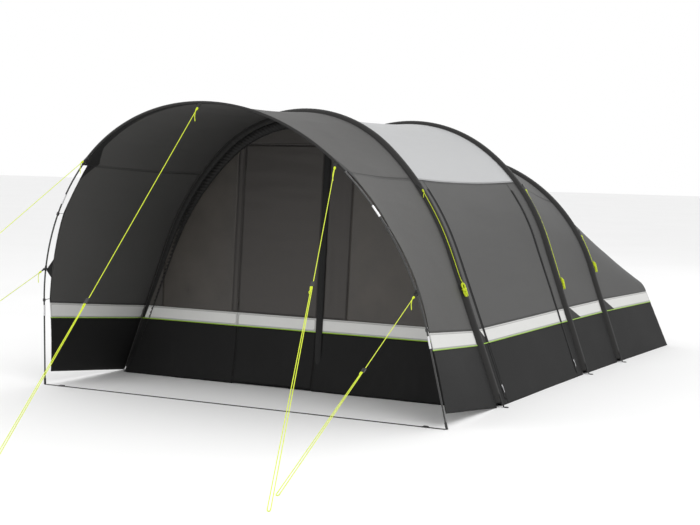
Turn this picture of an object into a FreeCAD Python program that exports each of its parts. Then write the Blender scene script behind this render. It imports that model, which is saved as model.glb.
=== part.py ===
import FreeCAD, Part
import Sketcher
import math
import os
from FreeCAD import Placement, Rotation, Vector

# A three-bay tunnel tent held up by air beams, with a canopy on one thin pole.
# X runs across the tent, +Y to its back, +Z up.  Lengths are millimetres.
# Every size that can be set by itself is a cell of the sheet.

SIZES = [
    # arches: half width on the ground, height, lean of the legs, leg length, crown angle
    ("beam_half_width", 1527, "front beam, outer skin to the middle plane at the ground"),
    ("beam_height", 1954, "front beam, outer skin"),
    ("beam_lean", 20.8, "degrees that the legs lean in"),
    ("beam_leg", 1057, "straight part of a leg"),
    ("beam_crown_angle", 42, "degrees of crown arc on each side"),
    ("middle_wider", 10, "middle beam's half width over the front beam's"),
    ("middle_height", 1921, "middle beam"),
    ("middle_lean", 19.6, "middle beam"),
    ("middle_leg", 1092, "middle beam"),
    ("middle_crown_angle", 35.7, "middle beam"),
    ("rear_wider", 30, "rear beam's half width over the front beam's"),
    ("rear_beam_height", 1672, "rear beam"),
    ("rear_beam_lean", 19.5, "rear beam"),
    ("rear_beam_leg", 830, "rear beam"),
    ("rear_beam_crown_angle", 25.5, "rear beam"),
    ("back_wider", 78, "back wall's half width over the front beam's"),
    ("back_rise", 195, "light strip to the top of the back wall, along its slope"),
    ("back_leg_rise", 23, "light strip to the end of the back wall's straight sides"),
    ("back_crown_angle", 5, "back wall"),
    ("back_tilt", 14, "degrees that the back wall leans forward"),
    ("hoop_wider", 4, "canopy pole's half width over the front beam's"),
    ("hoop_height", 1988, "canopy pole along its slope"),
    ("hoop_lean", 8.4, "canopy pole"),
    ("hoop_leg_rise", 110, "light strip to the end of the canopy pole's straight legs"),
    ("hoop_crown_angle", 46, "canopy pole"),
    ("hoop_tilt", 11.7, "degrees that the canopy pole leans forward"),
    # bays
    ("canopy_depth", 930, "front beam to the feet of the canopy pole"),
    ("living_depth", 1760, "front beam to middle beam"),
    ("bedroom_depth", 810, "middle beam to rear beam"),
    ("back_depth", 1310, "rear beam to the foot of the back wall"),
    # fabric
    ("cloth", 2, "thickness of a fabric panel with its coating and seams"),
    ("seam_gap", 0.5, "between two panels that are sewn together"),
    ("door_gap", 0.8, "between a door and its frame"),
    ("panel_depth", 28, "outer skin of a beam sleeve to the panels beside it"),
    ("skirt_top", 410, "height of the light strip's lower edge"),
    ("strip_top", 505, "height of the light strip's upper edge"),
    ("beam_eave", 1500, "height where roof and wall meet at the front beam"),
    ("middle_eave", 1470, "at the middle beam"),
    ("rear_eave", 1300, "at the rear beam"),
    ("back_eave_drop", 60, "top of the back wall to its eave, along its slope"),
    ("hoop_eave", 1575, "at the canopy pole, along its slope"),
    ("eave_margin", 12, "every eave is at least so far below the start of the crown arc"),
    ("canopy_hem", 44, "canopy pole to the free edge of the canopy walls"),
    ("hem_lift", 84, "ground to the canopy walls' lower edge, at the pole"),
    ("strip_lift", 70, "how much higher the light strip's lower edge is at the pole"),
    ("strip_spread", 15, "how much wider the light strip is at the pole"),
    ("canopy_inset", 18, "outer side of the canopy pole to the canopy fabric"),
    # beams
    ("beam_radius", 43, "inflated tube"),
    ("bladder_wall", 1, "wall of the inflated tube"),
    ("sleeve_wall", 2, "fabric sleeve round the tube"),
    ("sleeve_slack", 0.5, "tube to sleeve"),
    # canopy pole
    ("pole_radius", 5.5, "glass fibre rod"),
    ("pole_sleeve_radius", 8.5, "fabric sleeve round the rod"),
    ("ferrule_radius", 6.8, "metal tube over a joint of the rod"),
    ("ferrule_length", 78, "metal tube"),
    ("pole_foot_radius", 8, "plastic foot"),
    ("pole_foot_length", 45, "plastic foot"),
    ("clip_low", 620, "height of the lower pole clips, along the pole's slope"),
    ("clip_high", 1235, "height of the upper pole clips, along the pole's slope"),
    ("clip_wall", 4, "wall of a pole clip"),
    ("clip_height", 18, "pole clip"),
    ("small_clearance", 0.3, "between pieces that move or turn on each other"),
    # doors
    ("front_door_left", -472, "hinged edge of the front door"),
    ("front_door_right", 168, "zipped edge of the front door"),
    ("front_door_top", 1700, "along the sloping front wall"),
    ("door_lift", 12, "ground to the front door's lower edge"),
    ("zip_flap_lift", 30, "ground to the lower end of the front zip's flap"),
    ("zip_flap_width", 52, "flap over the front zip"),
    ("front_strip_right", 400, "inner edge of the right window"),
    ("front_wall_tilt", 3.9, "degrees that the front wall slopes forward"),
    ("window_outer", 1120, "outer edge of the front windows"),
    ("window_seam", 50, "plain band beside the left window"),
    ("side_door_front", 150, "behind the front beam"),
    ("side_door_rear", 180, "in front of the middle beam"),
    ("zip_tape_width", 24, "zip tape beside a side door"),
    ("zip_tape_thickness", 1.2, "zip tape"),
    ("zip_foot", 40, "height of the lower end of a side zip"),
    ("zip_head", 60, "eave down to the upper end of a side zip"),
    ("slider_length", 26, "zip slider"),
    ("slider_width", 14, "zip slider"),
    ("slider_height", 7, "zip slider"),
    ("slider_foot", 110, "height of a side slider when the door is shut"),
    ("front_slider_foot", 150, "height of the front slider when the door is shut"),
    # inner tent
    ("inner_inset", 140, "outer skin to the inner tent"),
    ("inner_start", 75, "middle beam to the front of the inner tent"),
    ("inner_door_half_width", 430, "inner door"),
    ("inner_door_top", 1350, "inner door"),
    ("inner_door_sill", 120, "inner door"),
    ("floor_thickness", 3, "groundsheet"),
    ("floor_inset", 118, "outer skin to the edge of the groundsheet"),
    ("floor_back_gap", 12, "groundsheet to the foot of the back wall"),
    ("inner_back_height", 560, "back of the inner tent along its slope"),
    ("inner_back_leg", 400, "straight sides of that back"),
    ("inner_back_inset", 150, "back wall's edge to the inner tent's, at the ground"),
    ("inner_back_gap", 190, "inner tent to the foot of the back wall"),
    # valves
    ("valve_height", 300, "of a beam's valve above the ground"),
    ("valve_radius", 19, "valve body"),
    ("valve_length", 14, "valve body"),
    ("valve_cap_radius", 23, "valve cap"),
    ("valve_cap_length", 9, "valve cap"),
    # lines and straps
    ("line_radius", 2.25, "guy line"),
    ("tab_length", 46, "guy point tab"),
    ("tab_width", 34, "guy point tab"),
    ("tab_thickness", 3, "guy point tab"),
    ("peg_turn", 8, "radius of a line's turn round its peg"),
    ("high_tab", 1630, "height of the upper side tabs, along the pole's slope"),
    ("low_tab", 850, "height of the lower side tabs, along the pole's slope"),
    ("apex_peg_reach", 3240, "front beam to the peg of the middle line"),
    ("high_peg_reach", 3225, "front beam to the pegs of the upper side lines"),
    ("high_peg_out", 1635, "middle plane to the pegs of the upper side lines"),
    ("low_peg_reach", 2941, "front beam to the pegs of the lower side lines"),
    ("low_peg_out", 1514, "middle plane to the pegs of the lower side lines"),
    ("apex_runner_share", 0.58, "part of the middle line above its runner"),
    ("high_runner_share", 0.40, "part of an upper side line above its runner"),
    ("low_runner_share", 0.42, "part of a lower side line above its runner"),
    ("front_stored_tab", 1420, "height of the front beam's own guy point"),
    ("front_stored_drop", 600, "from there down to its tied hank"),
    ("middle_stored_tab", 1400, "height of the middle beam's guy point"),
    ("middle_stored_drop", 660, "from there down to its tied hank"),
    ("stored_turn", 35, "degrees round the beam from its outer side to its own line"),
    ("rear_stored_tab", 1020, "height of the rear beam's guy point"),
    ("rear_stored_drop", 200, "from there down to its tied hank"),
    ("runner_length", 38, "line runner"),
    ("runner_width", 20, "line runner"),
    ("runner_thickness", 8, "line runner"),
    ("runner_bore", 2.8, "radius of a runner's holes"),
    ("strap_width", 25, "ground strap"),
    ("buckle_length", 32, "ladder-lock buckle"),
    ("buckle_width", 34, "ladder-lock buckle"),
    ("buckle_thickness", 7, "ladder-lock buckle"),
    ("eyelet_bore", 10.5, "radius of a pegging eyelet's hole"),
    ("eyelet_radius", 15.5, "pegging eyelet"),
    ("eyelet_height", 4, "pegging eyelet"),
    ("peg_strap_width", 20, "webbing strap of a pegging eyelet"),
    ("peg_strap_length", 90, "webbing strap of a pegging eyelet"),
    ("webbing", 1.6, "thickness of the webbing straps"),
    ("hank_length", 118, "tied hank of spare line"),
    ("hank_width", 46, "tied hank of spare line"),
    ("hank_thickness", 24, "tied hank of spare line"),
]

doc = FreeCAD.newDocument("Tent")
sheet = doc.addObject("Spreadsheet::Sheet", "Sizes")
for row, (alias, value, note) in enumerate(SIZES, start=1):
    sheet.set("A%d" % row, alias)
    sheet.set("B%d" % row, str(value))
    sheet.setAlias("B%d" % row, alias)
    sheet.set("C%d" % row, note)
doc.recompute()

nodes = []


def size(alias):
    return float(sheet.get(alias))


def finish(item, label, placement=None):
    """Give a sub-part its name and its place, and keep it for export."""
    item.Label = label
    if placement is not None:
        item.Placement = placement
    nodes.append(item)
    return item


def keep_shape(label, solids, placement=None):
    """A sub-part of one or more solids that Part's own functions have made."""
    item = doc.addObject("Part::Feature", label)
    item.Shape = solids[0] if len(solids) == 1 else Part.makeCompound(solids)
    return finish(item, label, placement or Placement())


def bind(item, **formulas):
    """Tie an object's properties to cells of the sheet."""
    for name, formula in formulas.items():
        item.setExpression(name, formula)
    return item


def both_sides(shape):
    return [shape, shape.mirror(Vector(), Vector(1, 0, 0))]


# ---------------------------------------------------------------- arches

class Arch:
    """A leaning leg, a shoulder arc and a crown arc, and the same on the left.

    A station says where on the arch: 0 is the right foot, 1 the top of the right
    leg, 2 the start of the crown arc, 3, 4 and 5 the same on the left.
    """

    def __init__(self, half_width, height, lean, leg, crown_angle, place, tilt=0.0):
        self.half_width, self.height, self.leg = half_width, height, leg
        self.lean, self.crown = math.radians(lean), math.radians(crown_angle)
        self.place, self.tilt = place, tilt
        self.leg_top = (half_width - leg * math.sin(self.lean), leg * math.cos(self.lean))
        across = math.cos(self.lean) - math.sin(self.crown)
        rise = math.cos(self.crown) - math.sin(self.lean)
        fall = 1 - math.cos(self.crown)
        # the two radii that carry the leg's top smoothly to the crown
        wide, high = self.leg_top[0], height - self.leg_top[1]
        whole = rise * math.sin(self.crown) - across * fall
        self.shoulder = (high * math.sin(self.crown) - wide * fall) / whole
        self.top = (wide - across * self.shoulder) / math.sin(self.crown)
        self.shoulder_centre = (
            self.leg_top[0] - self.shoulder * math.cos(self.lean),
            self.leg_top[1] - self.shoulder * math.sin(self.lean))

    def local(self, station, depth):
        """Point in the arch's own plane, depth millimetres under its outer skin."""
        if station > 2.5:
            x, z = self.local(5 - station, depth)
            return -x, z
        if station <= 1:
            x = self.half_width - self.leg * station * math.sin(self.lean)
            z = self.leg * station * math.cos(self.lean)
            return x - depth * math.cos(self.lean), z - depth * math.sin(self.lean)
        if station <= 2:
            angle = self.shoulder_angle(station)
            reach = self.shoulder - depth
            x, z = self.shoulder_centre
            return x + reach * math.sin(angle), z + reach * math.cos(angle)
        angle = self.crown * (1 - 2 * (station - 2))
        reach = self.top - depth
        return reach * math.sin(angle), self.height - self.top + reach * math.cos(angle)

    def crown_start(self):
        """Height at which the crown arc begins."""
        return self.height - self.top * (1 - math.cos(self.crown))

    def shoulder_angle(self, station):
        start = math.pi / 2 - self.lean
        return start + (self.crown - start) * (station - 1)

    def station(self, height):
        """Station on the right side at a height along the arch's own plane."""
        if height <= self.leg_top[1]:
            return height / (self.leg * math.cos(self.lean))
        start = math.pi / 2 - self.lean
        lift = (height - self.shoulder_centre[1]) / self.shoulder
        angle = math.acos(max(-1.0, min(1.0, lift)))
        if angle >= self.crown:
            return 1 + (start - angle) / (start - self.crown)
        lift = (height - self.height + self.top) / self.top
        return 2 + (1 - math.acos(min(1.0, lift)) / self.crown) / 2

    def ground(self, depth):
        """Lowest station whose point under the skin is not below the ground."""
        return depth * math.tan(self.lean) / self.leg

    def put(self, x, z, back=0.0):
        """Point of the arch's plane, moved back square to it, in the tent's frame."""
        turn = math.radians(self.tilt)
        return Vector(x, self.place - z * math.sin(turn) + back * math.cos(turn),
                      z * math.cos(turn) + back * math.sin(turn))

    def point(self, station, depth=0.0, back=0.0):
        x, z = self.local(station, depth)
        return self.put(x, z, back)

    def edges(self, start, end, depth, back=0.0):
        """The lines and arcs from one station to another, at one depth."""
        marks = [start] + [k for k in (1, 2, 3, 4) if start < k < end] + [end]
        if start > end:
            marks = [start] + [k for k in (4, 3, 2, 1) if end < k < start] + [end]
        chain = []
        for first, last in zip(marks, marks[1:]):
            ends = [self.point(mark, depth, back) for mark in (first, last)]
            middle = (first + last) / 2
            if middle < 1 or middle > 4:
                chain.append(Part.LineSegment(*ends).toShape())
            else:
                through = self.point(middle, depth, back)
                chain.append(Part.Arc(ends[0], through, ends[1]).toShape())
        return chain

    def band(self, start, end, depth, back=0.0, thickness=None):
        """Closed outline of a fabric strip along the arch."""
        inner = depth + (thickness or size("cloth"))
        corners = [self.point(end, depth, back), self.point(end, inner, back),
                   self.point(start, inner, back), self.point(start, depth, back)]
        chain = self.edges(start, end, depth, back)
        chain.append(Part.LineSegment(corners[0], corners[1]).toShape())
        chain += self.edges(end, start, inner, back)
        chain.append(Part.LineSegment(corners[2], corners[3]).toShape())
        return Part.Wire(chain)

    def sweep(self, start, end, depth, radius, back=0.0):
        """A round bar along the arch, its middle line at that depth."""
        path = Part.Wire(self.edges(start, end, depth, back))
        first = path.Edges[0]
        along = first.tangentAt(first.FirstParameter)
        ring = Part.Wire(Part.makeCircle(radius, self.point(start, depth, back), along))
        return path.makePipeShell([ring], True, False)

    def plate(self, depth, thickness, sill, back=0.0):
        """A flat wall that fills the arch, its outline at that depth."""
        low = self.station(sill) + self.ground(depth)
        chain = self.edges(low, 5 - low, depth, back)
        ends = [self.point(5 - low, depth, back), self.point(low, depth, back)]
        chain.append(Part.LineSegment(*ends).toShape())
        face = Part.Face(Part.Wire(chain))
        along = self.put(0, 0, 1) - self.put(0, 0, 0)
        return face.extrude(along * thickness)


def between(first, second, share):
    """The arch part of the way from one arch to the next."""
    def mix(a, b):
        return a + (b - a) * share
    return Arch(mix(first.half_width, second.half_width), mix(first.height, second.height),
                math.degrees(mix(first.lean, second.lean)), mix(first.leg, second.leg),
                math.degrees(mix(first.crown, second.crown)), mix(first.place, second.place),
                mix(first.tilt, second.tilt))


skin = size("beam_radius") + size("sleeve_slack") + size("sleeve_wall")
pole_depth = size("pole_radius") + 1
# the middle line's tab at the canopy pole's crown reaches furthest forward
crown_lean = math.radians(size("hoop_tilt"))
crown_reach = size("canopy_depth") + (size("hoop_height") - pole_depth) * math.sin(crown_lean)
line_run = size("apex_peg_reach") - crown_reach
line_drop = (size("hoop_height") - pole_depth) * math.cos(crown_lean)
front_reach = crown_reach + (size("tab_length") * line_run + size("tab_thickness") / 2 * line_drop
                             ) / math.hypot(line_run, line_drop)
back_reach = size("living_depth") + size("bedroom_depth") + size("back_depth")
# from the tent's skin at the ground to the near side of a pegging eyelet
peg_reach = ((size("small_clearance") + size("webbing")) / math.cos(math.radians(size("beam_lean")))
             + size("small_clearance"))
ring_reach = peg_reach + 2 * size("eyelet_radius")
# the front beam stands here, so that the origin is the middle of the tent's length
beam_place = (front_reach - back_reach - ring_reach) / 2
middle_place = beam_place + size("living_depth")
rear_place = middle_place + size("bedroom_depth")
back_place = rear_place + size("back_depth")



def leg_over_strip(lean, rise):
    """Length of a straight leg that ends this far above the light strip."""
    return (size("strip_top") + rise) / math.cos(math.radians(lean))


half_width = size("beam_half_width")
back_height = size("strip_top") + size("back_rise")
hoop = Arch(half_width + size("hoop_wider"), size("hoop_height"), size("hoop_lean"),
            leg_over_strip(size("hoop_lean"), size("hoop_leg_rise")),
            size("hoop_crown_angle"), beam_place - size("canopy_depth"), size("hoop_tilt"))
front = Arch(half_width, size("beam_height"), size("beam_lean"),
             size("beam_leg"), size("beam_crown_angle"), beam_place)
middle = Arch(half_width + size("middle_wider"), size("middle_height"), size("middle_lean"),
              size("middle_leg"), size("middle_crown_angle"), middle_place)
rear = Arch(half_width + size("rear_wider"), size("rear_beam_height"), size("rear_beam_lean"),
            size("rear_beam_leg"), size("rear_beam_crown_angle"), rear_place)
back = Arch(half_width + size("back_wider"), back_height, size("rear_beam_lean"),
            leg_over_strip(size("rear_beam_lean"), size("back_leg_rise")),
            size("back_crown_angle"), back_place, size("back_tilt"))
eaves = {}
for eave_arch, eave in ((hoop, size("hoop_eave")), (front, size("beam_eave")),
                        (middle, size("middle_eave")), (rear, size("rear_eave")),
                        (back, back_height - size("back_eave_drop"))):
    eaves[id(eave_arch)] = min(eave, eave_arch.crown_start() - size("eave_margin"))

# ---------------------------------------------------------------- beams

beams = {"front": front, "middle": middle, "rear": rear}


def foot_station(arch, depth, radius, lift):
    """Where a bar of this radius can end, its lowest point that far above the ground."""
    low = (depth + radius) * math.tan(arch.lean) + lift
    low += radius * math.tan(math.radians(arch.tilt))
    return low / arch.leg


def make_beam(name, arch):
    """The inflated tube with closed ends, and the fabric sleeve round it."""
    low = foot_station(arch, skin, skin, size("floor_thickness"))
    end = size("bladder_wall") / arch.leg
    tube = arch.sweep(low, 5 - low, skin, size("beam_radius"))
    inside = size("beam_radius") - size("bladder_wall")
    hollow = arch.sweep(low + end, 5 - low - end, skin, inside)
    keep_shape("air_beam_" + name, [tube.cut(hollow)])
    outer = arch.sweep(low, 5 - low, skin, skin)
    bore = arch.sweep(low, 5 - low, skin, size("beam_radius") + size("sleeve_slack"))
    keep_shape("beam_sleeve_" + name, [outer.cut(bore)])


for beam_name, beam_arch in beams.items():
    make_beam(beam_name, beam_arch)


def valve_frame(arch):
    """Where a valve stands on the right leg: its axis points into the tent."""
    seat = arch.point(arch.station(size("valve_height")), 2 * skin)
    inward = Vector(-math.cos(arch.lean), 0, -math.sin(arch.lean))
    return seat + inward * size("small_clearance"), inward


def make_valve(name, arch):
    """A valve's body, bound to the sheet."""
    body = doc.addObject("Part::Cylinder", "valve_body_" + name)
    bind(body, Radius="Sizes.valve_radius", Height="Sizes.valve_length")
    seat, inward = valve_frame(arch)
    body.Placement = Placement(seat, Rotation(Vector(0, 0, 1), inward))
    return body


def circle_sketch(body, name, formula, role="XY_Plane", middle_at=(0, 0)):
    """A sketch on one of the body's own planes with one circle of a bound radius."""
    sketch = body.newObject("Sketcher::SketchObject", name)
    plane = [item for item in body.Origin.OriginFeatures if item.Role == role][0]
    sketch.AttachmentSupport = [(plane, "")]
    sketch.MapMode = "FlatFace"
    sketch.addGeometry(Part.Circle(Vector(*middle_at, 0), Vector(0, 0, 1), 5), False)
    row = sketch.addConstraint(Sketcher.Constraint("Radius", 0, 5))
    sketch.setExpression("Constraints[%d]" % row, formula)
    return sketch


def make_cap(name, arch):
    """A screw-down valve cap with grip notches round its rim."""
    label = "valve_cap_" + name
    body = doc.addObject("PartDesign::Body", label)
    disc = body.newObject("PartDesign::Pad", label + "_disc")
    disc.Profile = circle_sketch(body, label + "_round", "Sizes.valve_cap_radius")
    bind(disc, Length="Sizes.valve_cap_length")
    doc.recompute()
    notch = circle_sketch(body, label + "_notch", "Sizes.valve_cap_length / 3",
                          middle_at=(size("valve_cap_radius"), 0))
    cut = body.newObject("PartDesign::Pocket", label + "_grip")
    cut.Profile = notch
    cut.Type, cut.Reversed = "ThroughAll", True
    doc.recompute()
    grips = body.newObject("PartDesign::PolarPattern", label + "_grips")
    grips.Originals = [cut]
    grips.Axis = (notch, ["N_Axis"])
    grips.Angle, grips.Occurrences = 360, 8
    body.Tip = grips
    seat, inward = valve_frame(arch)
    clear = size("valve_length") + size("small_clearance")
    finish(body, label, Placement(seat + inward * clear, Rotation(Vector(0, 0, 1), inward)))


valves = doc.addObject("Part::Compound", "beam_valves")
valves.Links = [make_valve(name, arch) for name, arch in beams.items()]
finish(valves, "beam_valves")
for beam_name, beam_arch in beams.items():
    make_cap(beam_name, beam_arch)

# ---------------------------------------------------------------- canopy pole

ferrule_stations = [0.89, 1.72, 2.24, 2.76, 3.28, 4.11]


def make_pole():
    """Glass fibre sections, the metal tubes that join them, and the two feet."""
    half = size("ferrule_length") / 2 / hoop.leg
    foot_top = (size("pole_foot_length") + 1) / hoop.leg
    ends = [foot_top] + ferrule_stations + [5 - foot_top]
    gap = size("small_clearance") / hoop.leg
    sections = [hoop.sweep(first + gap, last - gap, pole_depth, size("pole_radius"))
                for first, last in zip(ends, ends[1:])]
    ferrules = []
    for station in ferrule_stations:
        stretch = half * station_scale(station)
        tube = hoop.sweep(station - stretch, station + stretch, pole_depth, size("ferrule_radius"))
        bore = size("pole_radius") + size("small_clearance")
        hole = hoop.sweep(station - stretch, station + stretch, pole_depth, bore)
        ferrules.append(tube.cut(hole))
    feet = []
    low = foot_station(hoop, pole_depth, size("pole_foot_radius"), size("small_clearance"))
    for start, end in ((low, foot_top), (5 - foot_top, 5 - low)):
        feet.append(hoop.sweep(start, end, pole_depth, size("pole_foot_radius")))
    keep_shape("pole_sections", sections)
    keep_shape("pole_ferrules", ferrules)
    keep_shape("pole_feet", feet)


def station_scale(station):
    """How much a station step is, against a step on the leg."""
    part = 1 if station < 1 or station > 4 else 2
    if part == 1:
        return 1.0
    if station < 2 or station > 3:
        return hoop.leg / (hoop.shoulder * (math.pi / 2 - hoop.lean - hoop.crown))
    return hoop.leg / (2 * hoop.top * hoop.crown)


def make_pole_sleeve():
    """The fabric tube over the crown, from eave to eave."""
    start = hoop.station(eaves[id(hoop)])
    outer = hoop.sweep(start, 5 - start, pole_depth, size("pole_sleeve_radius"))
    hole = size("ferrule_radius") + size("small_clearance")
    keep_shape("pole_sleeve", [outer.cut(hoop.sweep(start, 5 - start, pole_depth, hole))])


def make_clips():
    """Four clips on the free legs of the pole, each with a tab to the canopy's hem."""
    pieces = []
    clip_size = size("pole_radius") + size("clip_wall")
    for height in (size("clip_low"), size("clip_high")):
        at = hoop.station(height)
        step = size("clip_height") / 2 * station_scale(at) / hoop.leg
        clip = hoop.sweep(at - step, at + step, pole_depth, clip_size)
        clip = clip.cut(hoop.sweep(at - step, at + step, pole_depth,
                                   size("pole_radius") + size("small_clearance")))
        bite = size("clip_wall") / 3
        corner = hoop.point(at, pole_depth, clip_size - bite)
        end = hoop.point(at, size("canopy_inset") + bite, size("canopy_hem") - bite)
        strap = bar_between(corner, end, size("clip_height"), size("webbing"))
        pieces += both_sides(clip.fuse(strap).removeSplitter())
    keep_shape("pole_clips", pieces)


def bar_between(start, end, width, thickness):
    """A flat webbing strap from point to point, its flat side facing up or out."""
    along = (end - start).normalize()
    length = (end - start).Length
    side = along.cross(Vector(0, 0, 1))
    turn = Rotation(along, Vector(0, 0, 1).cross(side), side, "XZY")
    box = Part.makeBox(length, thickness, width, Vector(0, -thickness / 2, -width / 2))
    box.Placement = Placement(start, turn)
    return box


make_pole()
make_pole_sleeve()
make_clips()

# ---------------------------------------------------------------- fly panels

sleeve_edge = math.sqrt(skin ** 2 - (skin - size("panel_depth") - size("cloth")) ** 2)
beam_back = sleeve_edge + size("seam_gap")
hoop_roof_back = size("pole_sleeve_radius") + size("seam_gap")


def loft(first, second):
    return Part.makeLoft([first, second], True, True)


def panel(first, first_back, second, second_back, heights, depths):
    """A ruled strip of the right side from arch to arch, between two pairs of heights."""
    outlines = []
    for arch, offset, (low, high), depth in zip(
            (first, second), (first_back, second_back), heights, depths):
        inner = depth + size("cloth")
        start = max(arch.station(low), arch.ground(inner))
        outlines.append(arch.band(start, arch.station(high), depth, offset))
    return loft(*outlines)


def roof(first, first_back, second, second_back, depths):
    """The panel over the top, from eave to eave."""
    outlines = []
    for arch, offset, depth in zip((first, second), (first_back, second_back), depths):
        start = arch.station(eaves[id(arch)])
        outlines.append(arch.band(start, 5 - start, depth, offset))
    return loft(*outlines)


def wall_zones(arch, eave):
    """Heights of the skirt, the light strip and the wall at one end of a bay."""
    gap, low, foot, top = size("seam_gap"), 0, size("skirt_top"), size("strip_top")
    if arch is hoop:
        low, foot = size("hem_lift"), foot + size("strip_lift")
        top += size("strip_lift") + size("strip_spread")
    return {"skirt": (low, foot - gap), "strip": (foot, top - gap), "wall": (top, eave - 4 * gap)}


def side(zone, first, first_back, second, second_back, first_eave, second_eave, depths):
    heights = [wall_zones(*end)[zone] for end in ((first, first_eave), (second, second_eave))]
    return panel(first, first_back, second, second_back, heights, depths)


under = size("panel_depth")
canopy_ends = (hoop, size("canopy_hem"), front, -beam_back,
               eaves[id(hoop)], eaves[id(front)], (size("canopy_inset"), under))
bedroom_ends = (middle, beam_back, rear, -beam_back,
                eaves[id(middle)], eaves[id(rear)], (under, under))
back_ends = (rear, beam_back, back, 0, eaves[id(rear)], eaves[id(back)], (under, under))

door_start = size("side_door_front") / size("living_depth")
door_end = 1 - size("side_door_rear") / size("living_depth")
door_front = between(front, middle, door_start)
door_rear = between(front, middle, door_end)


def eave_between(share):
    return eaves[id(front)] + (eaves[id(middle)] - eaves[id(front)]) * share


fore_ends = (front, beam_back, door_front, -size("door_gap"),
             eaves[id(front)], eave_between(door_start), (under, under))
aft_ends = (door_rear, size("door_gap"), middle, -beam_back,
            eave_between(door_end), eaves[id(middle)], (under, under))
door_ends = (door_front, 0, door_rear, 0, eave_between(door_start) - size("door_gap"),
             eave_between(door_end) - size("door_gap"), (under, under))

keep_shape("canopy_roof", [roof(hoop, hoop_roof_back, front, -beam_back,
                                (size("canopy_inset"), under))])
keep_shape("canopy_walls", both_sides(side("wall", *canopy_ends)))
keep_shape("living_roof", [roof(front, beam_back, middle, -beam_back, (under, under))])
keep_shape("living_walls", both_sides(side("wall", *fore_ends))
           + both_sides(side("wall", *aft_ends)))
keep_shape("bedroom_roof", [roof(middle, beam_back, rear, -beam_back, (under, under))])
keep_shape("rear_roof", [roof(rear, beam_back, back, 0, (under, under))])
door_panels = [side(zone, *door_ends) for zone in ("wall", "strip", "skirt")]
keep_shape("side_door_right", door_panels)
keep_shape("side_door_left", [both_sides(shape)[1] for shape in door_panels])

# ---------------------------------------------------------------- end walls

front_tilt = size("front_wall_tilt")
slope = math.radians(front_tilt)
wall_depth = (2 * skin + size("small_clearance")) / math.cos(slope)
# the front wall hangs from the crown of the front beam and slopes forward to the ground
front_plate = Arch(front.half_width, front.height / math.cos(slope), size("beam_lean"), front.leg,
                   size("beam_crown_angle"), beam_place - front.height * math.tan(slope),
                   -front_tilt)


# thick enough to hold a whole end wall, whatever its slope
wall_reach = size("beam_height") / 5


def front_cell(name, left, right, low, high):
    """The part of the front wall between two widths and two heights."""
    sheet_of_wall = doc.addObject("Part::Feature", name + "_plate")
    sheet_of_wall.Shape = front_plate.plate(wall_depth, size("cloth"), 0)
    window = doc.addObject("Part::Box", name + "_window")
    bind(window, Length="%s" % (right - left), Height="%s" % (high - low),
         Width="%s" % wall_reach)
    corner = front_plate.put(left, low, -wall_reach / 2)
    window.Placement = Placement(corner, Rotation(Vector(1, 0, 0), -front_tilt))
    piece = doc.addObject("Part::Common", name)
    piece.Base, piece.Tool = sheet_of_wall, window
    return piece


def group(label, pieces):
    """Several bound pieces that make one sub-part."""
    item = doc.addObject("Part::Compound", label)
    item.Links = pieces
    return finish(item, label)


gap, slot, ground_gap = size("seam_gap"), size("door_gap"), 2 * size("seam_gap")
door_left, door_right = size("front_door_left"), size("front_door_right")
flap_right = door_right + size("zip_flap_width")
pane_right, pane_edge = size("front_strip_right"), size("window_outer")
left_seam = door_left - size("window_seam")
skirt_top, strip_top, wide = size("skirt_top"), size("strip_top"), 2 * size("beam_half_width")
door_top, wall_top = size("front_door_top"), size("beam_height")

front_wall = [
    front_cell("wall_far_left", -wide, -pane_edge - gap, strip_top, wall_top),
    front_cell("wall_left_seam", left_seam, door_left - slot, strip_top, door_top),
    front_cell("wall_over_door", left_seam, pane_right - gap, door_top + slot, wall_top),
    front_cell("wall_zip_side", door_right + slot, pane_right - gap, strip_top, door_top),
    front_cell("wall_far_right", pane_edge + gap, wide, strip_top, wall_top),
]
group("front_wall", front_wall)
group("front_windows", [
    front_cell("window_left", -pane_edge, left_seam - gap, strip_top, wall_top),
    front_cell("window_right", pane_right, pane_edge, strip_top, wall_top)])
group("front_door", [
    front_cell("door_panel", door_left, door_right, strip_top, door_top),
    front_cell("door_strip", door_left, door_right, skirt_top, strip_top - gap),
    front_cell("door_skirt", door_left, door_right, size("door_lift"), skirt_top - gap)])

front_strips = [
    front_cell("strip_left", -wide, door_left - slot, skirt_top, strip_top - gap),
    front_cell("strip_right", door_right + slot, wide, skirt_top, strip_top - gap)]
front_skirts = [
    front_cell("skirt_left", -wide, door_left - slot, ground_gap, skirt_top - gap),
    front_cell("skirt_right", door_right + slot, wide, ground_gap, skirt_top - gap)]

back_depth_in = under + size("cloth") + gap


def back_cell(low, high):
    """The part of the back wall between two heights."""
    plate = back.plate(back_depth_in, size("cloth"), 0, -size("cloth"))
    block = Part.makeBox(2 * wide, wall_reach, high - low, Vector(-wide, -wall_reach / 2, low))
    block.rotate(Vector(), Vector(1, 0, 0), size("back_tilt"))
    block.translate(Vector(0, back_place, 0))
    return plate.common(block)


doc.recompute()
keep_shape("light_strips",
           [solid for ends in (canopy_ends, fore_ends, aft_ends, bedroom_ends, back_ends)
            for solid in both_sides(side("strip", *ends))]
           + [piece.Shape.Solids[0].copy() for piece in front_strips]
           + back_cell(skirt_top, strip_top - gap).Solids)
keep_shape("skirts",
           [solid for ends in (canopy_ends, fore_ends, aft_ends, bedroom_ends, back_ends)
            for solid in both_sides(side("skirt", *ends))]
           + [piece.Shape.Solids[0].copy() for piece in front_skirts]
           + back_cell(ground_gap, skirt_top - gap).Solids)
keep_shape("bedroom_walls", both_sides(side("wall", *bedroom_ends))
           + both_sides(side("wall", *back_ends)) + back_cell(strip_top, back_height).Solids)

# ---------------------------------------------------------------- groundsheet, inner tent

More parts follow.
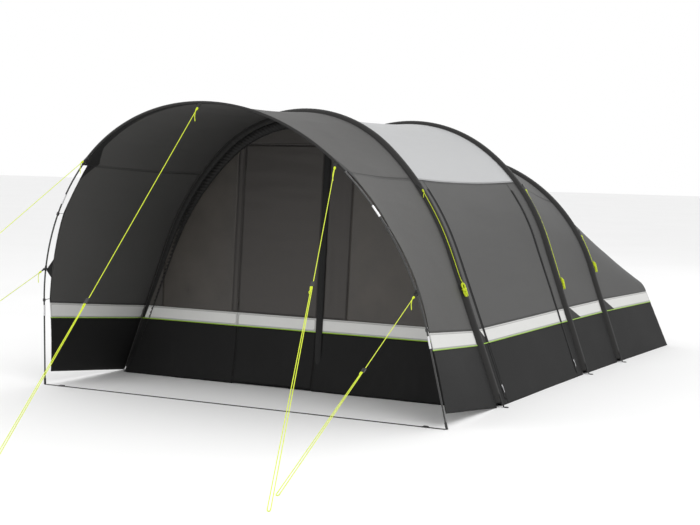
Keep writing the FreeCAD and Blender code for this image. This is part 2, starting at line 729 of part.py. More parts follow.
def flat_sheet(edge, height, thickness):
    """A level sheet from its right edge, a row of widths and places."""
    right = [Vector(width, place, height) for width, place in edge]
    left = [Vector(-width, place, height) for width, place in reversed(edge)]
    face = Part.Face(Part.makePolygon(right + left + right[:1]))
    return face.extrude(Vector(0, 0, thickness))


def make_floor():
    """The groundsheet under the living room and the bedroom."""
    inset = size("floor_inset") / math.cos(front.lean)
    start = front_plate.place + size("cloth") + ground_gap
    rows = [(min(front.half_width, hoop.half_width), start)]
    rows += [(arch.half_width, arch.place) for arch in (front, middle, rear)]
    rows.append((back.half_width, back_place - size("floor_back_gap")))
    edge = [(half - inset, place) for half, place in rows]
    keep_shape("groundsheet", [flat_sheet(edge, 0, size("floor_thickness"))])


inner_back = Arch(back.half_width - size("inner_back_inset"), size("inner_back_height"),
                  size("rear_beam_lean"), size("inner_back_leg"), size("back_crown_angle"),
                  back_place - size("inner_back_gap"), size("back_tilt"))
inner_base = size("floor_thickness") + size("small_clearance") + size("cloth") + gap


def inner_band(arch, depth, offset):
    start = arch.station(inner_base) + arch.ground(depth + size("cloth"))
    return arch.band(start, 5 - start, depth, offset)


def make_inner_tent():
    """The bedroom: a breathable shell with its own floor and a zipped front."""
    inset, start = size("inner_inset"), size("inner_start")
    fore = loft(inner_band(middle, inset, start + size("cloth") + gap),
                inner_band(rear, inset, -gap))
    aft = loft(inner_band(rear, inset, gap), inner_band(inner_back, 0, -gap))
    end = inner_back.plate(0, size("cloth"), inner_base, 0)
    reach = inset / math.cos(middle.lean) + 2 * size("cloth")
    edge = [(middle.half_width - reach, middle.place + start),
            (rear.half_width - reach, rear.place),
            (inner_back.half_width + inset - reach, inner_back.place)]
    tub = flat_sheet(edge, inner_base - size("cloth") - gap, size("cloth"))
    keep_shape("inner_tent", [fore, aft, end, tub])
    sheet_of_wall = middle.plate(inset, size("cloth"), inner_base, start)
    half, sill, top = (size(name) for name in (
        "inner_door_half_width", "inner_door_sill", "inner_door_top"))

    def opening(grow):
        return Part.makeBox(2 * (half + grow), 60, top - sill + 2 * grow,
                            Vector(-half - grow, middle.place + start - 30, sill - grow))
    keep_shape("inner_front", [sheet_of_wall.cut(opening(slot))])
    keep_shape("inner_door", [sheet_of_wall.common(opening(0))])


make_floor()
make_inner_tent()

# ---------------------------------------------------------------- zips

def skin_frame(arch, height, side_sign=1):
    """A point on a side panel, the way out of the tent there, and the way up."""
    x, z = arch.local(arch.station(height), under)
    outward = Vector(side_sign * math.cos(arch.lean), 0, math.sin(arch.lean))
    upward = Vector(-side_sign * math.sin(arch.lean), 0, math.cos(arch.lean))
    return Vector(side_sign * x, arch.place, z), outward, upward


def zip_tape(share, sign, low, high):
    """Tape along one edge of a side door, on the fixed panel beside it."""
    thick = size("zip_tape_thickness")
    depth = under - thick - size("small_clearance")
    reach = size("zip_tape_width") / size("living_depth")
    outlines = []
    for ends, shift in ((between(front, middle, share), sign * slot),
                        (between(front, middle, share + sign * reach), 0)):
        outlines.append(ends.band(ends.station(low), ends.station(high), depth, shift, thick))
    return loft(*outlines)


def make_zip_tapes():
    """The tapes beside both side doors, and the flap over the front zip."""
    pieces = []
    for share, sign in ((door_start, -1), (door_end, 1)):
        top = eave_between(share) - size("zip_head")
        pieces += both_sides(zip_tape(share, sign, size("zip_foot"), top))
    flap = front_cell("front_zip_flap", door_right + slot, flap_right,
                      size("zip_flap_lift"), door_top)
    doc.recompute()
    forward = front_plate.put(0, 0, -1) - front_plate.put(0, 0, 0)
    shape = flap.Shape.Solids[0].copy()
    shape.translate(forward * (size("cloth") + size("small_clearance")))
    keep_shape("zip_tapes", pieces + [shape])


def make_slider(label, seat, outward, upward):
    """A zip slider: a waisted body with a bridge and a hanging pull."""
    body = doc.addObject("Part::Box", label + "_body")
    bind(body, Length="Sizes.slider_width", Width="Sizes.slider_length",
         Height="Sizes.slider_height / 2")
    body.Placement.Base = Vector(-size("slider_width") / 2, 0, 0)
    bridge = doc.addObject("Part::Cylinder", label + "_bridge")
    bind(bridge, Radius="Sizes.slider_height / 2", Height="Sizes.slider_width / 2")
    bridge.Placement = Placement(
        Vector(-size("slider_width") / 4, size("slider_length") / 2, size("slider_height") / 2),
        Rotation(Vector(0, 1, 0), 90))
    pull = doc.addObject("Part::Box", label + "_pull")
    bind(pull, Length="Sizes.slider_width / 2", Width="Sizes.slider_length * 1.6", Height="2")
    pull.Placement.Base = Vector(-size("slider_width") / 4,
                                 size("slider_length") / 2 - 1.6 * size("slider_length"),
                                 size("slider_height") - 3)
    whole = doc.addObject("Part::MultiFuse", label)
    whole.Shapes = [body, bridge, pull]
    across = upward.cross(outward)
    finish(whole, label, Placement(seat, Rotation(across, upward, outward, "ZXY")))


def make_sliders():
    """One slider at each edge of both side doors, and one on the front zip."""
    lift = size("zip_tape_thickness") + 4 * size("small_clearance")
    shift = size("zip_tape_width") / 2 + slot
    for side_name, sign in (("right", 1), ("left", -1)):
        for end_name, ends, offset in (("front", door_front, -shift), ("rear", door_rear, shift)):
            seat, outward, upward = skin_frame(ends, size("slider_foot"), sign)
            seat = seat + outward * lift + Vector(0, offset, 0)
            make_slider("zip_slider_%s_%s" % (side_name, end_name), seat, outward, upward)
    turn = Rotation(Vector(1, 0, 0), -front_tilt)
    outward, upward = turn.multVec(Vector(0, -1, 0)), turn.multVec(Vector(0, 0, 1))
    middle_x = door_right + slot + size("zip_flap_width") / 2
    thick = size("cloth") + 2 * size("small_clearance")
    seat = front_plate.put(middle_x, size("front_slider_foot"), -thick)
    make_slider("zip_slider_front", seat, outward, upward)


make_zip_tapes()
make_sliders()

# ---------------------------------------------------------------- guy points and lines

# a line's name, its arch, the height of its tab, its side and its peg on the ground
canopy_lines = [("apex", size("hoop_height"), 0,
                 Vector(0, beam_place - size("apex_peg_reach"), 0), size("apex_runner_share"))]
for line_kind in ("high", "low"):
    for line_side, line_sign in (("right", 1), ("left", -1)):
        line_peg = Vector(line_sign * size(line_kind + "_peg_out"),
                          beam_place - size(line_kind + "_peg_reach"), 0)
        canopy_lines.append(("%s_%s" % (line_side, line_kind), size(line_kind + "_tab"),
                             line_sign, line_peg, size(line_kind + "_runner_share")))


def line_start(height, sign):
    """Where a tab leaves the canopy pole's outer side."""
    station = 2.5 if sign == 0 else hoop.station(height)
    depth = pole_depth
    spot = hoop.point(station, depth)
    return spot if sign >= 0 else Vector(-spot.x, spot.y, spot.z)


def tab_solid(start, along, side_way, near):
    """A triangular webbing tab whose point holds a line."""
    along = Vector(along).normalize()
    face_way = side_way.cross(along)
    half, length = size("tab_width") / 2, size("tab_length")
    point = length / 10
    corners = [start + along * near + side_way * half, start + along * near - side_way * half,
               start + along * length - side_way * point, start + along * length + side_way * point]
    face = Part.Face(Part.makePolygon(corners + corners[:1]))
    solid = face.extrude(face_way * size("tab_thickness"))
    solid.translate(face_way * (-size("tab_thickness") / 2))
    return solid


def pole_loop(height, sign):
    """The webbing loop that holds a low tab on the bare pole."""
    at = hoop.station(height)
    step = size("tab_width") / 2 * station_scale(at) / hoop.leg
    bore = size("pole_radius") + size("small_clearance")
    loop = hoop.sweep(at - step, at + step, pole_depth, bore + size("webbing"))
    loop = loop.cut(hoop.sweep(at - step, at + step, pole_depth, bore))
    return both_sides(loop)[0 if sign > 0 else 1]


def tube_along(points, radius, turns):
    """Straight runs joined by tangent arcs, each arc with its own radius."""
    chain, start = [], points[0]
    for index in range(1, len(points) - 1):
        corner = points[index]
        before = (points[index - 1] - corner).normalize()
        after = (points[index + 1] - corner).normalize()
        half = (math.pi - before.getAngle(after)) / 2
        cut = turns[index - 1] * math.tan(half)
        first, last = corner + before * cut, corner + after * cut
        toward = (before + after).normalize()
        reach = turns[index - 1] / math.cos(half) - turns[index - 1]
        chain.append(Part.LineSegment(start, first).toShape())
        chain.append(Part.Arc(first, corner + toward * reach, last).toShape())
        start = last
    chain.append(Part.LineSegment(start, points[-1]).toShape())
    path = Part.Wire(chain)
    along = points[1] - points[0]
    ring = Part.Wire(Part.makeCircle(radius, points[0], along))
    solid = path.makePipeShell([ring], True, False)
    expected = math.pi * radius ** 2 * path.Length
    print("line %.0f mm long, volume %.3f of its section times its length, radii %s"
          % (path.Length, solid.Volume / expected, turns))
    return solid


def line_route(height, sign, peg, share):
    """Points of a guy line: tab, down to the peg, round it, and back to the runner."""
    start = line_start(height, sign)
    along = (peg - start).normalize()
    side_way = along.cross(Vector(0, 0, 1)).normalize()
    tip = start + along * (size("tab_length") + size("small_clearance"))
    turn, radius = size("peg_turn"), size("line_radius")
    ground = Vector(peg.x, peg.y, radius + 0.5)
    near = ground - side_way * turn
    far = ground + side_way * turn
    way = (tip - near)
    spacing = size("runner_width") / 2 - size("runner_bore") - 1
    middle_spot = near + way * (1 - share)
    runner_end = middle_spot + side_way * spacing - way.normalize() * size("runner_length") / 2
    return tip, near, far, runner_end, middle_spot, way.normalize(), side_way


def make_runner(label, spot, way, side_way):
    """A flat runner with two holes for the line, bound to the sheet."""
    plate = doc.addObject("Part::Box", label + "_plate")
    bind(plate, Length="Sizes.runner_width", Width="Sizes.runner_thickness",
         Height="Sizes.runner_length")
    spacing = size("runner_width") / 2 - size("runner_bore") - 1
    margin = size("runner_width") / 2 - spacing / 2
    plate.Placement.Base = Vector(-margin, -size("runner_thickness") / 2,
                                  -size("runner_length") / 2)
    holes = []
    for index, offset in enumerate((0, spacing)):
        hole = doc.addObject("Part::Cylinder", "%s_hole_%d" % (label, index))
        bind(hole, Radius="Sizes.runner_bore", Height="Sizes.runner_length * 2")
        hole.Placement.Base = Vector(offset, 0, -size("runner_length"))
        holes.append(hole)
    cutter = doc.addObject("Part::MultiFuse", label + "_holes")
    cutter.Shapes = holes
    body = doc.addObject("Part::Cut", label)
    body.Base, body.Tool = plate, cutter
    face_way = way.cross(side_way)
    finish(body, label, Placement(spot, Rotation(side_way, face_way, way, "ZXY")))


tabs = []


def make_canopy_lines():
    round_sleeve = hoop.sweep(hoop.station(eaves[id(hoop)]) - 0.02,
                              5.02 - hoop.station(eaves[id(hoop)]), pole_depth,
                              size("pole_sleeve_radius") + size("small_clearance"))
    for name, height, sign, peg, share in canopy_lines:
        tip, near, far, runner_end, spot, way, side_way = line_route(height, sign, peg, share)
        tab = tab_solid(line_start(height, sign), peg - line_start(height, sign), side_way, 0)
        if sign and height < eaves[id(hoop)]:
            loop = pole_loop(height, sign)
            bore = size("pole_radius") + size("small_clearance")
            at = hoop.station(height)
            clear = both_sides(hoop.sweep(at - 0.2, at + 0.2, pole_depth, bore))
            tab = tab.cut(clear[0 if sign > 0 else 1]).fuse(loop)
            tabs.append(max(tab.Solids, key=lambda solid: solid.Volume))
        else:
            pieces = tab.cut(round_sleeve).Solids
            tabs.append(min(pieces, key=lambda solid: (solid.CenterOfMass - tip).Length))
        turns = [size("peg_turn") * 0.9] * 2
        route = [tip, near, far, runner_end]
        keep_shape("guy_line_" + name, [tube_along(route, size("line_radius"), turns)])
        make_runner("line_runner_" + name, spot, way, side_way)


def around(arch, station, lift, turn):
    """A point that far off a beam's sleeve, turned round the beam towards the back."""
    reach, angle = skin + lift, math.radians(turn)
    return arch.point(station, skin - reach * math.cos(angle), reach * math.sin(angle))


def stored_turn(arch):
    """The front beam's line hangs on its front side, the others' on their back."""
    return -size("stored_turn") if arch is front else size("stored_turn")


def stored_route(arch, height, drop):
    """A beam's own line, tied up, lies on the sleeve from its tab down to its hank."""
    lift = size("line_radius") + size("tab_thickness") + 0.9
    top = arch.station(height)
    low = arch.station(height - drop)
    marks = [top + (low - top) * share for share in (0, 0.23, 0.5, 0.76, 1)]
    return [around(arch, mark, lift, stored_turn(arch)) for mark in marks]


def make_stored_lines():
    for name, arch in beams.items():
        height, drop = size(name + "_stored_tab"), size(name + "_stored_drop")
        route = stored_route(arch, height, drop)
        lift = size("small_clearance") + size("tab_thickness") / 2
        up = arch.station(height + size("tab_length") - size("tab_width") / 4)
        down, turn = arch.station(height - size("tab_width") / 4), stored_turn(arch)
        upper, lower = (around(arch, station, lift, turn) for station in (up, down))
        across = (around(arch, up, lift, turn + 90) - around(arch, up, lift, turn - 90)).normalize()
        tabs.append(tab_solid(upper, lower - upper, across, 0))
        turns = []
        for first, corner, last in zip(route, route[1:], route[2:]):
            turn = (corner - first).getAngle(last - corner)
            shorter = min((corner - first).Length, (last - corner).Length)
            turns.append(0.45 * shorter / math.tan(turn / 2))
        keep_shape("stored_line_" + name, [tube_along(route, size("line_radius"), turns)])
        make_hank("line_hank_" + name, arch, arch.station(height - drop))


def make_hank(label, arch, station):
    """The tied hank that hangs under a spare line, flat on the sleeve."""
    wide_hank, thick, long_hank = (size("hank_" + name) for name in (
        "width", "thickness", "length"))
    seat, turn = around(arch, station, 0, stored_turn(arch)), stored_turn(arch)
    upward = (around(arch, station + 0.01, 0, turn) - seat).normalize()
    outward = (around(arch, station, 1, turn) - seat).normalize()
    box = Part.makeBox(wide_hank, thick, long_hank, Vector(
        -wide_hank / 2, 2 * size("small_clearance"), -long_hank - size("small_clearance")))
    box = box.makeFillet(thick * 0.45, box.Edges)
    facing = Rotation(outward.cross(upward), outward, upward, "ZXY")
    keep_shape(label, [box], Placement(seat, facing))


make_canopy_lines()
make_stored_lines()
keep_shape("guy_tabs", tabs)

# ---------------------------------------------------------------- straps and peg rings

def make_strap():
    """The webbing strap on the ground between the feet of the canopy pole."""
    width, thick = size("strap_width"), size("webbing")
    half = hoop.half_width - (pole_depth + size("pole_foot_radius")) / math.cos(hoop.lean)
    half -= 2 * size("small_clearance")
    flat = Part.makeBox(2 * half, width, thick, Vector(-half, hoop.place - width / 2, 0))
    keep_shape("ground_strap", [flat])


def make_buckle(label, sign):
    """A ladder-lock buckle that slides on the strap."""
    outer = doc.addObject("Part::Box", label + "_frame")
    bind(outer, Length="Sizes.buckle_length", Width="Sizes.buckle_width",
         Height="Sizes.buckle_thickness")
    window = doc.addObject("Part::Box", label + "_window")
    bind(window, Length="Sizes.buckle_length * 2", Width="Sizes.strap_width + 2",
         Height="Sizes.webbing + 1")
    window.Placement.Base = Vector(-size("buckle_length") / 2,
                                   (size("buckle_width") - size("strap_width") - 2) / 2, -0.5)
    body = doc.addObject("Part::Cut", label)
    body.Base, body.Tool = outer, window
    x = sign * (hoop.half_width - 150) - size("buckle_length") / 2
    finish(body, label, Placement(
        Vector(x, hoop.place - size("buckle_width") / 2, 0), Rotation()))


def make_eyelet(place, foot, upward, outward):
    """A pegging eyelet on the ground, and the strap that ties it to the tent."""
    ring = Part.makeCylinder(size("eyelet_radius"), size("eyelet_height"), place)
    ring = ring.cut(Part.makeCylinder(size("eyelet_bore"), size("eyelet_height"), place))
    width, thick = size("peg_strap_width"), size("webbing")
    strap = Part.makeBox(width, thick, size("peg_strap_length"), Vector(-width / 2, 0, 0))
    strap.Placement = Placement(foot + outward * size("small_clearance"), Rotation(
        outward.cross(upward), outward, upward, "ZXY"))
    return [ring, strap]


def make_peg_loops():
    """Pegging eyelets at every foot of the beams and along the back wall."""
    pieces = []
    reach = size("eyelet_radius") + peg_reach
    low = 2 * size("small_clearance")
    for arch in (front, middle, rear):
        foot = arch.point(low / arch.leg)
        upward = (arch.point(0.5) - arch.point(0)).normalize()
        outward = Vector(upward.z, 0, -upward.x)
        place = Vector(arch.half_width + reach, arch.place, 0)
        for piece in make_eyelet(place, foot, upward, outward):
            pieces += both_sides(piece)
    upward = (back.put(0, 1) - back.put(0, 0)).normalize()
    outward = (back.put(0, 0, 1) - back.put(0, 0, 0)).normalize()
    for share in back_peg_shares:
        x = back.half_width * share
        foot = back.put(x, low)
        place = Vector(x, back_place + reach, 0)
        for piece in make_eyelet(place, foot, upward, outward):
            pieces += both_sides(piece)
    keep_shape("peg_loops", pieces)


back_peg_shares = (0.33, 0.94)
make_strap()
make_buckle("strap_buckle_right", 1)
make_buckle("strap_buckle_left", -1)
make_peg_loops()

# ---------------------------------------------------------------- check and export

doc.recompute()
for item in doc.Objects:
    if "Invalid" in item.State or "Error" in item.State:
        raise RuntimeError("%s failed: %s" % (item.Name, item.State))
for item in nodes:
    if item.Shape.isNull() or not item.Shape.isValid() or not item.Shape.Solids:
        raise RuntimeError("%s has no sound shape" % item.Label)
os.makedirs("parts", exist_ok=True)
for item in nodes:
    item.Shape.exportStep("parts/%s.step" % item.Label)
lines = ("guy_line", "line_runner", "stored_line", "line_hank")
boxes = [item.Shape.optimalBoundingBox(True, False) for item in nodes
         if not item.Label.startswith(lines)]
print("%d nodes; length from %.1f to %.1f, lowest point %.3f, width %.1f, height %.1f" % (
    len(nodes), min(box.YMin for box in boxes), max(box.YMax for box in boxes),
    min(box.ZMin for box in boxes), max(box.XMax for box in boxes) - min(box.XMin for box in boxes),
    max(box.ZMax for box in boxes)))
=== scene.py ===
# %% [markdown]
# # A tunnel tent on three air beams
# This lesson builds the looks of a family tent: a canopy on one thin pole, three inflated arches,
# stretched cloth between them, a hanging front wall, zips, webbing and guy lines.
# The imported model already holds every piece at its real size, so each step asks the frame where a
# piece is and then gives it the shape that soft material takes.
# Hard pieces keep their own shape and only get a finish.

import math

import bmesh
import bpy
from mathutils import Matrix, Vector, noise


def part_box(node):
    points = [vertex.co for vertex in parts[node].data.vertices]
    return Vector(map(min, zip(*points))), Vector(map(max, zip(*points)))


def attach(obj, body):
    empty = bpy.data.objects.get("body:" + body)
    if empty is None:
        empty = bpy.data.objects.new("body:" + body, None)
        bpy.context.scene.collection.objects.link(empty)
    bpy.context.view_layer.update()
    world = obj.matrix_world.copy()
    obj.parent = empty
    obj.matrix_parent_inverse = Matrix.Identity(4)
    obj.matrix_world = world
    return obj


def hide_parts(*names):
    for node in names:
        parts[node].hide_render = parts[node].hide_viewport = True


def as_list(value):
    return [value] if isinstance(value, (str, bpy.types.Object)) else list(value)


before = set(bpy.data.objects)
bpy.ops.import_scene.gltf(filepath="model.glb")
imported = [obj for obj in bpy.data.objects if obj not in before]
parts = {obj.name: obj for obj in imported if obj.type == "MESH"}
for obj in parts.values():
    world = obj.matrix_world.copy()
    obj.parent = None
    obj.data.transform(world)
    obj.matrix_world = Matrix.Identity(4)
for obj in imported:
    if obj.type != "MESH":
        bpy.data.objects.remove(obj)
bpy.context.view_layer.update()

# %% [markdown]
# ## Where the arches stand
# A tent is set out from its arches. Every arch here is a leaning straight leg, a shoulder arc and a
# crown arc, mirrored. One class that turns a station along the arch into a point lets every cloth
# panel, sleeve and line find its place, which is much easier to keep true than loose numbers.
# The places along the tent come from the frame's own boxes.


# %% One arch
class Arch:
    """Stations: 0 right foot, 1 top of the right leg, 2 start of the crown arc, 3 to 5 mirrored."""

    def __init__(self, half_width, height, lean, leg, crown, place, tilt=0.0):
        self.half_width, self.height, self.leg, self.place = half_width, height, leg, place
        self.lean, self.crown, self.tilt = math.radians(lean), math.radians(crown), math.radians(tilt)
        top_x, top_z = half_width - leg * math.sin(self.lean), leg * math.cos(self.lean)
        across = math.cos(self.lean) - math.sin(self.crown)
        rise, fall = math.cos(self.crown) - math.sin(self.lean), 1 - math.cos(self.crown)
        high, whole = height - top_z, rise * math.sin(self.crown) - across * fall
        self.shoulder = (high * math.sin(self.crown) - top_x * fall) / whole
        self.top = (top_x - across * self.shoulder) / math.sin(self.crown)
        self.turn = math.pi / 2 - self.lean - self.crown
        self.centre = (top_x - self.shoulder * math.cos(self.lean),
                       top_z - self.shoulder * math.sin(self.lean))
        self.runs = [leg, self.shoulder * self.turn, 2 * self.top * self.crown]
        self.runs += self.runs[1::-1]

    def local(self, station, depth=0.0):
        """Width and height of a station, depth metres under the outer skin."""
        if station > 2.5:
            x, z = self.local(5 - station, depth)
            return -x, z
        if station <= 1:
            x = self.half_width - self.leg * station * math.sin(self.lean)
            z = self.leg * station * math.cos(self.lean)
            return x - depth * math.cos(self.lean), z - depth * math.sin(self.lean)
        if station <= 2:
            angle = math.pi / 2 - self.lean - self.turn * (station - 1)
            reach = self.shoulder - depth
            return self.centre[0] + reach * math.sin(angle), self.centre[1] + reach * math.cos(angle)
        angle = self.crown * (5 - 2 * station)
        reach = self.top - depth
        return reach * math.sin(angle), self.height - self.top + reach * math.cos(angle)

    def put(self, x, z, back=0.0):
        """A point of the arch's own leaning plane, moved back square to it."""
        lean, rise = math.sin(self.tilt), math.cos(self.tilt)
        return Vector((x, self.place - z * lean + back * rise, z * rise + back * lean))

    def point(self, station, depth=0.0, back=0.0):
        return self.put(*self.local(station, depth), back)

    def station(self, height):
        """The station on the right at a height along the arch's own plane."""
        if height <= self.leg * math.cos(self.lean):
            return height / (self.leg * math.cos(self.lean))
        start = math.pi / 2 - self.lean
        angle = math.acos(max(-1.0, min(1.0, (height - self.centre[1]) / self.shoulder)))
        if angle >= self.crown:
            return 1 + (start - angle) / self.turn
        lift = (height - self.height + self.top) / self.top
        return 2.5 - math.acos(min(1.0, lift)) / self.crown / 2

    def length_to(self, station):
        """Cloth length from the right foot to a station."""
        whole = int(min(4, station))
        return sum(self.runs[:whole]) + self.runs[whole] * (station - whole)

    def station_at(self, length):
        """The station that lies a cloth length from the right foot."""
        for whole, run in enumerate(self.runs):
            if length <= run or whole == 4:
                return whole + length / run
            length -= run

    def share(self, low, high, part):
        """The station a part of the way from one station to another, by cloth length."""
        first, last = self.length_to(low), self.length_to(high)
        return self.station_at(first + (last - first) * part)

    def half_at(self, height, depth=0.0):
        """Half the clear width at a height."""
        return self.local(self.station(height), depth)[0]

    def height_at(self, x, depth=0.0):
        """Height of the arch over a width, found by halving."""
        low, high = 0.0, 2.5
        for _ in range(30):
            middle = (low + high) / 2
            if self.local(middle, depth)[0] > abs(x):
                low = middle
            else:
                high = middle
        return self.local(low, depth)[1]


def between(first, second, share):
    """The arch part of the way from one arch to the next."""
    def mix(name):
        return getattr(first, name) * (1 - share) + getattr(second, name) * share
    return Arch(mix("half_width"), mix("height"), math.degrees(mix("lean")), mix("leg"),
                math.degrees(mix("crown")), mix("place"), math.degrees(mix("tilt")))


# %% [markdown]
# The arches' own sizes are those of the model. A box of a node gives where each arch stands, and
# the model's light strip ends the straight part of the canopy pole and of the back wall.

# %% The five arches
STRIP_LOW, STRIP_HIGH = 0.410, 0.505
SKIN = 0.0455


def middle_of(node, axis):
    low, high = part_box(node)
    return (low[axis] + high[axis]) / 2


front = Arch(1.527, 1.954, 20.8, 1.057, 42, middle_of("beam_sleeve_front", 1))
middle = Arch(1.537, 1.921, 19.6, 1.092, 35.7, middle_of("beam_sleeve_middle", 1))
rear = Arch(1.557, 1.672, 19.5, 0.830, 25.5, middle_of("beam_sleeve_rear", 1))
hoop = Arch(1.531, 1.988, 8.4, (STRIP_HIGH + 0.110) / math.cos(math.radians(8.4)), 46,
            middle_of("ground_strap", 1), 11.7)
back = Arch(1.605, STRIP_HIGH + 0.195, 19.5, (STRIP_HIGH + 0.023) / math.cos(math.radians(19.5)),
            5, rear.place + 1.310, 14)
EAVES = {hoop: 1.575, front: 1.500, middle: 1.470, rear: 1.300, back: back.height - 0.060}
print("arches stand at", [round(arch.place, 3) for arch in EAVES])

# %% [markdown]
# ## The camera
# The tent is seen from its front right, a little above eye level of a seated person. A long lens
# keeps the arches from spreading. The camera's axes are worked out from a bearing, a height angle
# and a slight roll, because those three are what one reads off a view, and then put in a matrix.


# %% Camera
def look(bearing, rise, roll):
    """The camera's right, up and back axes as the columns of a matrix."""
    a, e, r = (math.radians(angle) for angle in (bearing, rise, roll))
    backward = Vector((math.sin(a) * math.cos(e), -math.cos(a) * math.cos(e), math.sin(e)))
    right = Vector((math.cos(a), math.sin(a), 0))
    up = backward.cross(right)
    turned = math.cos(r) * right + math.sin(r) * up
    return Matrix((turned, math.cos(r) * up - math.sin(r) * right, backward)).transposed()


lens = bpy.data.cameras.new("view")
lens.lens, lens.sensor_width, lens.clip_end = 74.58, 36, 200
camera = bpy.data.objects.new("view", lens)
camera.matrix_world = Matrix.LocRotScale((4.9339, front.place - 8.8703, 1.6313),
                                         look(27.2366, 4.2134, 1.1396), None)
bpy.context.scene.collection.objects.link(camera)
bpy.context.scene.camera = camera
print("camera", [round(c, 2) for c in camera.location], "lens", lens.lens)

# %% [markdown]
# ## Shader maths as plain expressions
# A finish is a small tree of nodes. Linking nodes by hand hides the sum that they do, so a socket is
# wrapped in a class whose operators add the Math nodes. `Finish` owns one material: `node` adds any
# other node, with its settings first and its socket values after, and `set` fills the shader.


# %% Sockets and finishes
class Value:
    """A node's output that can be used in sums."""

    def __init__(self, finish, socket):
        self.finish, self.socket = finish, socket

    def sum(self, operation, *others):
        values = dict(enumerate((self,) + others))
        return self.finish.node("Math", {"operation": operation}, values)

    def __add__(self, other):
        return self.sum("ADD", other)

    def __mul__(self, other):
        return self.sum("MULTIPLY", other)

    def __sub__(self, other):
        return self.sum("SUBTRACT", other)

    def __rsub__(self, other):
        return self.finish.node("Math", {"operation": "SUBTRACT"}, {0: other, 1: self})

    def __truediv__(self, other):
        return self.sum("DIVIDE", other)

    def __pow__(self, other):
        return self.sum("POWER", other)

    def __lt__(self, other):
        return self.sum("LESS_THAN", other)

    def __gt__(self, other):
        return self.sum("GREATER_THAN", other)

    __radd__, __rmul__ = __add__, __mul__


class Finish:
    """One material with its Principled shader."""

    def __init__(self, name, **constants):
        self.material = bpy.data.materials.new(name)
        self.material.use_nodes = True
        self.tree = self.material.node_tree
        self.shader = next(n for n in self.tree.nodes if n.type == "BSDF_PRINCIPLED")
        for socket, value in constants.items():
            self.shader.inputs[socket.replace("_", " ")].default_value = value

    def node(self, kind, settings=None, values=None, output=0):
        made = self.tree.nodes.new("ShaderNode" + kind)
        for name, value in (settings or {}).items():
            if name == "stops":
                ramp = made.color_ramp
                while len(ramp.elements) < len(value):
                    ramp.elements.new(0.5)
                for element, (place, grey) in zip(ramp.elements, value):
                    element.position, element.color = place, (*[grey] * 3, 1)
            else:
                setattr(made, name, value)
        for name, value in (values or {}).items():
            self.fill(made.inputs[name], value)
        return Value(self, made.outputs[output])

    def fill(self, socket, value):
        if isinstance(value, Value):
            self.tree.links.new(value.socket, socket)
        else:
            socket.default_value = value

    def set(self, **values):
        for name, value in values.items():
            self.fill(self.shader.inputs[name.replace("_", " ")], value)
        return self

    def colour(self, shade, first, second):
        """A colour that runs from the first to the second with the shade."""
        return self.node("Mix", {"data_type": "RGBA"}, {0: shade, 6: (*first, 1), 7: (*second, 1)}, 2)

    def over(self, mask, below, colour):
        """A colour laid over another where the mask is 1."""
        return self.node("Mix", {"data_type": "RGBA"}, {0: mask, 6: below, 7: (*colour, 1)}, 2)

    def place(self, scale=(1, 1, 1), output="Object"):
        """Where on the object a point is, in metres, or in its cloth's own weave."""
        spot = self.node("TexCoord", output=output)
        return self.node("Mapping", {}, {0: spot, 3: scale})

    def grain(self, spot, scale, detail=2.0, output=0):
        return self.node("TexNoise", {}, {"Vector": spot, "Scale": scale, "Detail": detail}, output)

    def relief(self, height, depth, under=None):
        """A bump of this many metres."""
        values = {"Height": height, "Distance": depth, "Strength": 1.0}
        if under is not None:
            values["Normal"] = under
        return self.node("Bump", {}, values)


print("finishes are ready")

# %% [markdown]
# ## Cloth, webbing and cord finishes
# Tent cloth is a fine plain weave with a coating: dull, a little uneven in tone, with soft creases
# where it was folded. Every panel carries an attribute called seam, the distance to its nearest sewn
# edge, so one finish can draw the folded hem and its stitch rows on any panel. The weave is a
# product of two waves in the panel's own UV map, which is laid out in metres.


# %% Cloth
def cloth_finish(name, tone, rough=0.62, crease=0.0012, weave=0.0011, hem=0.78, streak=0.10,
                 gusset=False):
    """A coated plain weave of one tone, with hems, soft fold creases and, if asked, gussets."""
    f = Finish(name, Sheen_Weight=0.03, Sheen_Roughness=0.5, Specular_IOR_Level=0.22)
    body = f.place()
    wide = f.grain(body, 3.1, 3.0)
    fine = f.grain(body, 46.0, 2.0)
    fold = f.node("TexNoise", {"noise_type": "RIDGED_MULTIFRACTAL"},
                  {"Vector": f.place((1, 0.45, 1)), "Scale": 4.2, "Detail": 3.0})
    seam = f.node("Attribute", {"attribute_name": "seam"}, output="Fac")
    binding = f.node("Attribute", {"attribute_name": "binding"}, output="Fac")
    band = seam < 0.014
    stitch = (seam.sum("SUBTRACT", 0.0095).sum("ABSOLUTE") < 0.0011)
    dark, light = [c * (1 - streak) for c in tone], [c * (1 + streak) for c in tone]
    shade = f.colour(wide * 0.7 + fine * 0.3, dark, light)
    shade = f.over(band * (1 - hem), shade, (0, 0, 0))
    shade = f.over(stitch * 0.35, shade, (0, 0, 0))
    shade = f.over((binding > 0.0) * 0.94, shade, (0.004, 0.004, 0.004))
    if gusset:
        behind = f.node("Attribute", {"attribute_name": "gusset"}, output="Fac")
        shade = f.over(behind < 0.0, shade, (0.008, 0.008, 0.008))
    threads = f.node("TexWave", {}, {"Vector": f.place(output="UV"), "Scale": 1 / weave / 6.3})
    cross = f.node("TexWave", {"bands_direction": "Y"},
                   {"Vector": f.place(output="UV"), "Scale": 1 / weave / 6.3})
    soft = f.relief(fold, crease)
    fine_relief = f.relief(threads * cross + band * 4 - stitch * 6, 0.00012, soft)
    f.set(Base_Color=shade, Roughness=rough + (wide - 0.5) * 0.12, Normal=fine_relief)
    return f.material


